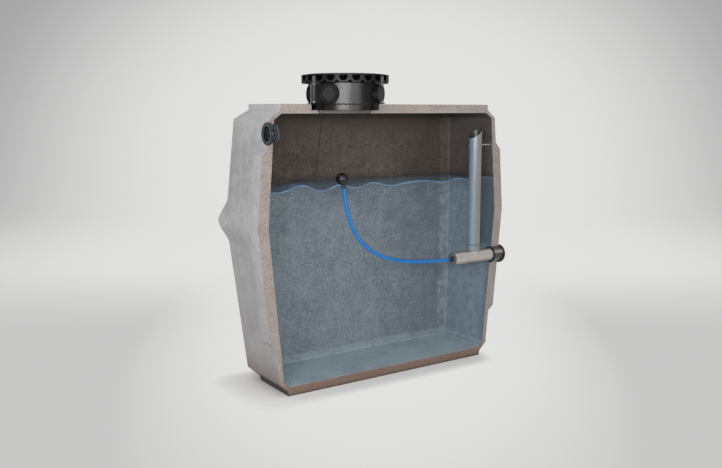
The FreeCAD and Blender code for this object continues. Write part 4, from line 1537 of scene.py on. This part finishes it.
def cover_cap(m):
    """Cover with a raised top and a thick rim ringed by pockets, scalloped between them, with painted shade
    in the pockets.
    """
    radius = (high("lid").x - low("lid").x) / 2
    top = high("lid").z
    plate = top - m.top_rise
    rim_foot = plate - m.rim
    under = plate - m.plate
    raised = radius - m.shoulder
    inside = radius - m.rim_width
    bm = turned([
        (0, under), (inside, under), (inside, rim_foot), (radius - 2 * mm, rim_foot),
        (radius, rim_foot + 2 * mm), (radius, plate - 2 * mm), (radius - 2 * mm, plate), (raised, plate),
        (raised - m.top_chamfer, top), (raised * 0.82, top), (raised * 0.8, top - 3 * mm),
        (raised * 0.76, top - 3 * mm), (raised * 0.74, top), (0, top),
    ], upright(neck_x), 8 * m.pockets)
    bm = cut(bm, pocket_tool(m, radius, under), notch_tool(m, radius, rim_foot))
    # Sunk faces of the pockets take the second finish: painted shade.
    for face in bm.faces:
        centre = face.calc_center_median()
        away = math.hypot(centre.x - neck_x, centre.y - cut_y)
        sunk = radius - m.pocket_depth - mm < away < radius - 3 * mm
        face.material_index = int(sunk and rim_foot < centre.z < under + mm)
    return bm


def about_neck(node):
    """Places a shape made on +X of the neck's axis in the heading of a piece beside it."""
    return upright(neck_x, 0.0, direction(node))


def tie_bar(m, node):
    """Rod with a nut and washer at each end."""
    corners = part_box(node)
    centre = middle(node)
    foot, top = corners[0].z, corners[1].z
    place = Matrix.Translation((centre.x, centre.y, 0))
    bar = turned([(0, foot), (m.rod, foot), (m.rod, top), (0, top)], place, bar_steps)
    pieces = []
    for z in (foot, top - m.washer):
        pieces.append(round_bar(1.3 * m.nut, m.washer, place @ Matrix.Translation((0, 0, z)), rod_steps))
    for z in (foot + m.washer, top - m.washer - m.nut_height):
        pieces.append(hex_bolt(m.nut, m.nut_height, place @ Matrix.Translation((0, 0, z))))
    return joined(bar, *[paint(piece, 1) for piece in pieces])


def roof_hook(m, s, node, rod_node):
    """Hook that stands in the rebate beside the neck, with a lug under the rod."""
    foot, top = low(node).z, high(node).z
    half = m.hook / 2
    inside = m.neck + 0.3 * mm
    root = inside - 20 * mm
    rod = middle(rod_node)
    reach = math.hypot(rod.x - neck_x, rod.y - cut_y) + m.hook_margin
    outside = s.rebate - 3 * mm
    place = about_neck(node)
    post = block((root, -half, foot), (outside, half, top), place)
    lug = block((root, -half, s.height), (reach, half, top), place)
    bm = shaped("UNION", post, lug)
    bm = cut(bm, round_bar(inside, s.height, upright(neck_x, s.waist), wide_steps))
    return softened(bm, 2.5 * mm, segments=3)


def cover_clip(m, node, rod_node):
    """Plate under the rim for the rod, with a tab up the web outside."""
    foot, top = low(node).z, high(node).z
    radius = (high("lid").x - low("lid").x) / 2
    rod = middle(rod_node)
    reach = math.hypot(rod.x - neck_x, rod.y - cut_y) + m.clip_margin
    half = m.clip / 2
    tab = radius + 0.3 * mm
    place = about_neck(node)
    plate = block((radius - m.rim_width, -half, foot), (reach, half, foot + m.clip_plate), place)
    upstand = block((tab, -half, foot), (tab + m.clip_tab, half, top), place)
    bm = softened(shaped("UNION", plate, upstand), 1.5 * mm)
    outwards = place @ Matrix.Translation((tab + m.clip_tab, 0, (foot + top) / 2)) @ sideways
    return joined(bm, hex_bolt(m.nut * 0.8, 5 * mm, outwards))


class RAINTANK_OT_neck(bpy.types.Operator):
    """Set the manhole neck with its blank ports"""
    bl_idname = "raintank.neck"
    bl_label = "Manhole Neck"

    def execute(self, context):
        m = settings().manhole
        black = finishes("moulded_black")
        tube = softened(neck_tube(m), 1.5 * mm, sharp=35)
        publish("neck_tube", tube, black, ["manhole_neck"])
        blank = finishes("cover_black", "cap_black")
        for number, heading in enumerate(port_headings(), 1):
            nodes = port_nodes[number - 1:number]
            publish("blank_port_cap_%d" % number, port_blank(m, heading), blank, nodes)
        return {"FINISHED"}


class RAINTANK_OT_cover(bpy.types.Operator):
    """Close the manhole with its cover and tie it down"""
    bl_idname = "raintank.cover"
    bl_label = "Cover and Tie Rods"

    def execute(self, context):
        s = settings().casting
        m = settings().manhole
        black = finishes("cover_black", "pocket_black")
        steel = finishes("clip_steel")
        rods = finishes("rod_steel", "clip_steel")
        publish("manhole_cover", softened(cover_cap(m), 1.5 * mm, sharp=35), black, ["lid"])
        for number in range(1, 5):
            rod, hook, clip = "tie_rod_%d" % number, "anchor_%d" % number, "lid_clip_%d" % number
            publish("tie_bar_%d" % number, tie_bar(m, rod), rods, [rod])
            publish("roof_hook_%d" % number, roof_hook(m, s, hook, rod), black[:1], [hook])
            publish("cover_clip_%d" % number, cover_clip(m, clip, rod), steel, [clip])
        return {"FINISHED"}


# Water

def stored_water(s, w):
    """Body of the water: a block with a rippled top, cut to the inside of the tank."""
    columns = round(2 * s.half_length / w.ripple)
    rows = round(s.half_width / w.ripple)
    bm = bmesh.new()
    bmesh.ops.create_grid(bm, x_segments=columns, y_segments=rows, size=0.5)
    spread = Matrix.Diagonal((2 * s.half_length, s.half_width, 1, 1))
    place = Matrix.Translation((0, cut_y + s.half_width / 2, 0)) @ spread
    bmesh.ops.transform(bm, matrix=place, verts=bm.verts)
    made = bmesh.ops.extrude_face_region(bm, geom=bm.faces[:])["geom"]
    for item in made:
        if isinstance(item, bmesh.types.BMVert):
            item.co.z = w.level + wave(item.co.x, item.co.y)
    bmesh.ops.recalc_face_normals(bm, faces=bm.faces)
    levels = [z for z, inset in inner_stations(s) if z < s.ceiling]
    rings = [cavity_ring(s, z, ahead, w.gap) for z in levels]
    rings[0] = [(x, y, z + w.gap) for x, y, z in rings[0]]
    bm = shaped("INTERSECT", bm, stacked(rings))
    front, top, side = range(3)
    for face in bm.faces:
        centre = face.calc_center_median()
        if abs(centre.y - cut_y) < 0.1 * mm:
            face.material_index = front
        elif abs(centre.z - w.level - wave(centre.x, centre.y)) < 3 * mm and face.normal.z > 0.5:
            face.material_index = top
        else:
            face.material_index = side
    return bm


class RAINTANK_OT_water(bpy.types.Operator):
    """Fill the tank with water"""
    bl_idname = "raintank.water"
    bl_label = "Stored Water"

    def execute(self, context):
        skins = finishes("water_front", "water_top", "water_side")
        publish("stored_water", stored_water(settings().casting, settings().water), skins, [])
        return {"FINISHED"}


# Studio

def studio_sweep():
    """Floor that curves up into a backdrop behind the tank."""
    far, near, side, radius, rise = 9.0, -30.0, 30.0, 4.0, 12.0
    bm = bmesh.new()
    outline = [(near, 0.0), (far, 0.0)]
    for step in range(1, 17):
        turn = math.pi / 2 * step / 16
        outline.append((far + radius * math.sin(turn), radius * (1 - math.cos(turn))))
    outline.append((far + radius, rise))
    points = [bm.verts.new((-side, y, z)) for y, z in outline]
    edges = [bm.edges.new(pair) for pair in zip(points, points[1:])]
    made = bmesh.ops.extrude_edge_only(bm, edges=edges)["geom"]
    moved = [item for item in made if isinstance(item, bmesh.types.BMVert)]
    bmesh.ops.translate(bm, verts=moved, vec=(2 * side, 0, 0))
    heading = Matrix.Rotation(-settings().studio.heading, 4, "Z")
    bmesh.ops.transform(bm, matrix=heading, verts=bm.verts)
    for face in bm.faces:
        if face.normal.z < 0 or (abs(face.normal.z) < 0.01 and face.normal.y > 0):
            face.normal_flip()
    return bm


def hung_light(light, heading, height):
    """A light that shines on the tank from a heading and a height."""
    lamp = bpy.data.objects.new(light.name, light)
    flat = math.cos(height)
    towards = Vector((flat * math.cos(heading), flat * math.sin(heading), math.sin(height)))
    lamp.rotation_mode = "QUATERNION"
    lamp.rotation_quaternion = towards.to_track_quat("Z", "Y")
    bpy.context.scene.collection.objects.link(lamp)
    return lamp


class RAINTANK_OT_studio(bpy.types.Operator):
    """Set the camera, the light and a pale floor"""
    bl_idname = "raintank.studio"
    bl_label = "Studio"

    def execute(self, context):
        scene = context.scene
        t = settings().studio
        scene.view_settings.view_transform = "Standard"

        lens = bpy.data.cameras.new("studio_camera")
        lens.sensor_width = 36.0
        lens.lens = t.lens
        camera = bpy.data.objects.new("studio_camera", lens)
        camera.location = t.eye
        camera.rotation_euler = (math.pi / 2 - t.tilt, 0.0, -t.heading)
        scene.collection.objects.link(camera)
        scene.camera = camera

        mesh = bpy.data.meshes.new("studio_sweep")
        bm = studio_sweep()
        bm.to_mesh(mesh)
        bm.free()
        mesh.shade_smooth()
        mesh.materials.append(finish("studio_paper"))
        sweep = bpy.data.objects.new("studio_sweep", mesh)
        scene.collection.objects.link(sweep)

        boxes = [("studio_key", t.key, t.key_heading), ("studio_fill", t.fill, t.fill_heading)]
        for name, watts, heading in boxes:
            box = bpy.data.lights.new(name, "AREA")
            box.shape = "ELLIPSE"
            box.energy = watts
            box.size = t.box_width
            box.size_y = t.box_rise
            lamp = hung_light(box, heading, t.box_height)
            centre = Vector((0, cut_y, high("lid").z / 2))
            lamp.location = centre + lamp.rotation_quaternion @ Vector((0, 0, t.box_away))
        sun = bpy.data.lights.new("studio_top", "SUN")
        sun.energy = t.top
        sun.angle = t.top_size
        hung_light(sun, t.key_heading, t.top_height)

        world = bpy.data.worlds.new("studio_light")
        world.use_nodes = True
        sky = world.node_tree.nodes["Background"]
        sky.inputs["Color"].default_value = (1.0, 1.0, 1.0, 1.0)
        sky.inputs["Strength"].default_value = t.ambient
        scene.world = world
        return {"FINISHED"}


class RAINTANK_PT_sidebar(bpy.types.Panel):
    """Buttons for the tank's pieces"""
    bl_idname = "RAINTANK_PT_sidebar"
    bl_label = "Rainwater Tank"
    bl_space_type = "VIEW_3D"
    bl_region_type = "UI"
    bl_category = "Rainwater Tank"

    def draw(self, context):
        for operator in operators:
            self.layout.operator(operator.bl_idname)


operators = [
    RAINTANK_OT_studio,
    RAINTANK_OT_hose,
    RAINTANK_OT_casting,
    RAINTANK_OT_seals,
    RAINTANK_OT_pipes,
    RAINTANK_OT_neck,
    RAINTANK_OT_cover,
    RAINTANK_OT_water,
]
groups = [CastingSizes, FittingSizes, ManholeSizes, WaterSizes, TankColours, StudioSizes, TankSettings]
classes = groups + operators + [RAINTANK_PT_sidebar]


def register():
    for item in classes:
        bpy.utils.register_class(item)
    bpy.types.Scene.rainwater_tank = bpy.props.PointerProperty(type=TankSettings)


def unregister():
    del bpy.types.Scene.rainwater_tank
    for item in reversed(classes):
        bpy.utils.unregister_class(item)


def main():
    register()
    bpy.ops.raintank.studio()
    bpy.ops.raintank.hose()
    bpy.ops.raintank.casting()
    bpy.ops.raintank.seals()
    bpy.ops.raintank.pipes()
    bpy.ops.raintank.neck()
    bpy.ops.raintank.cover()
    bpy.ops.raintank.water()


if __name__ == "__main__":
    main()
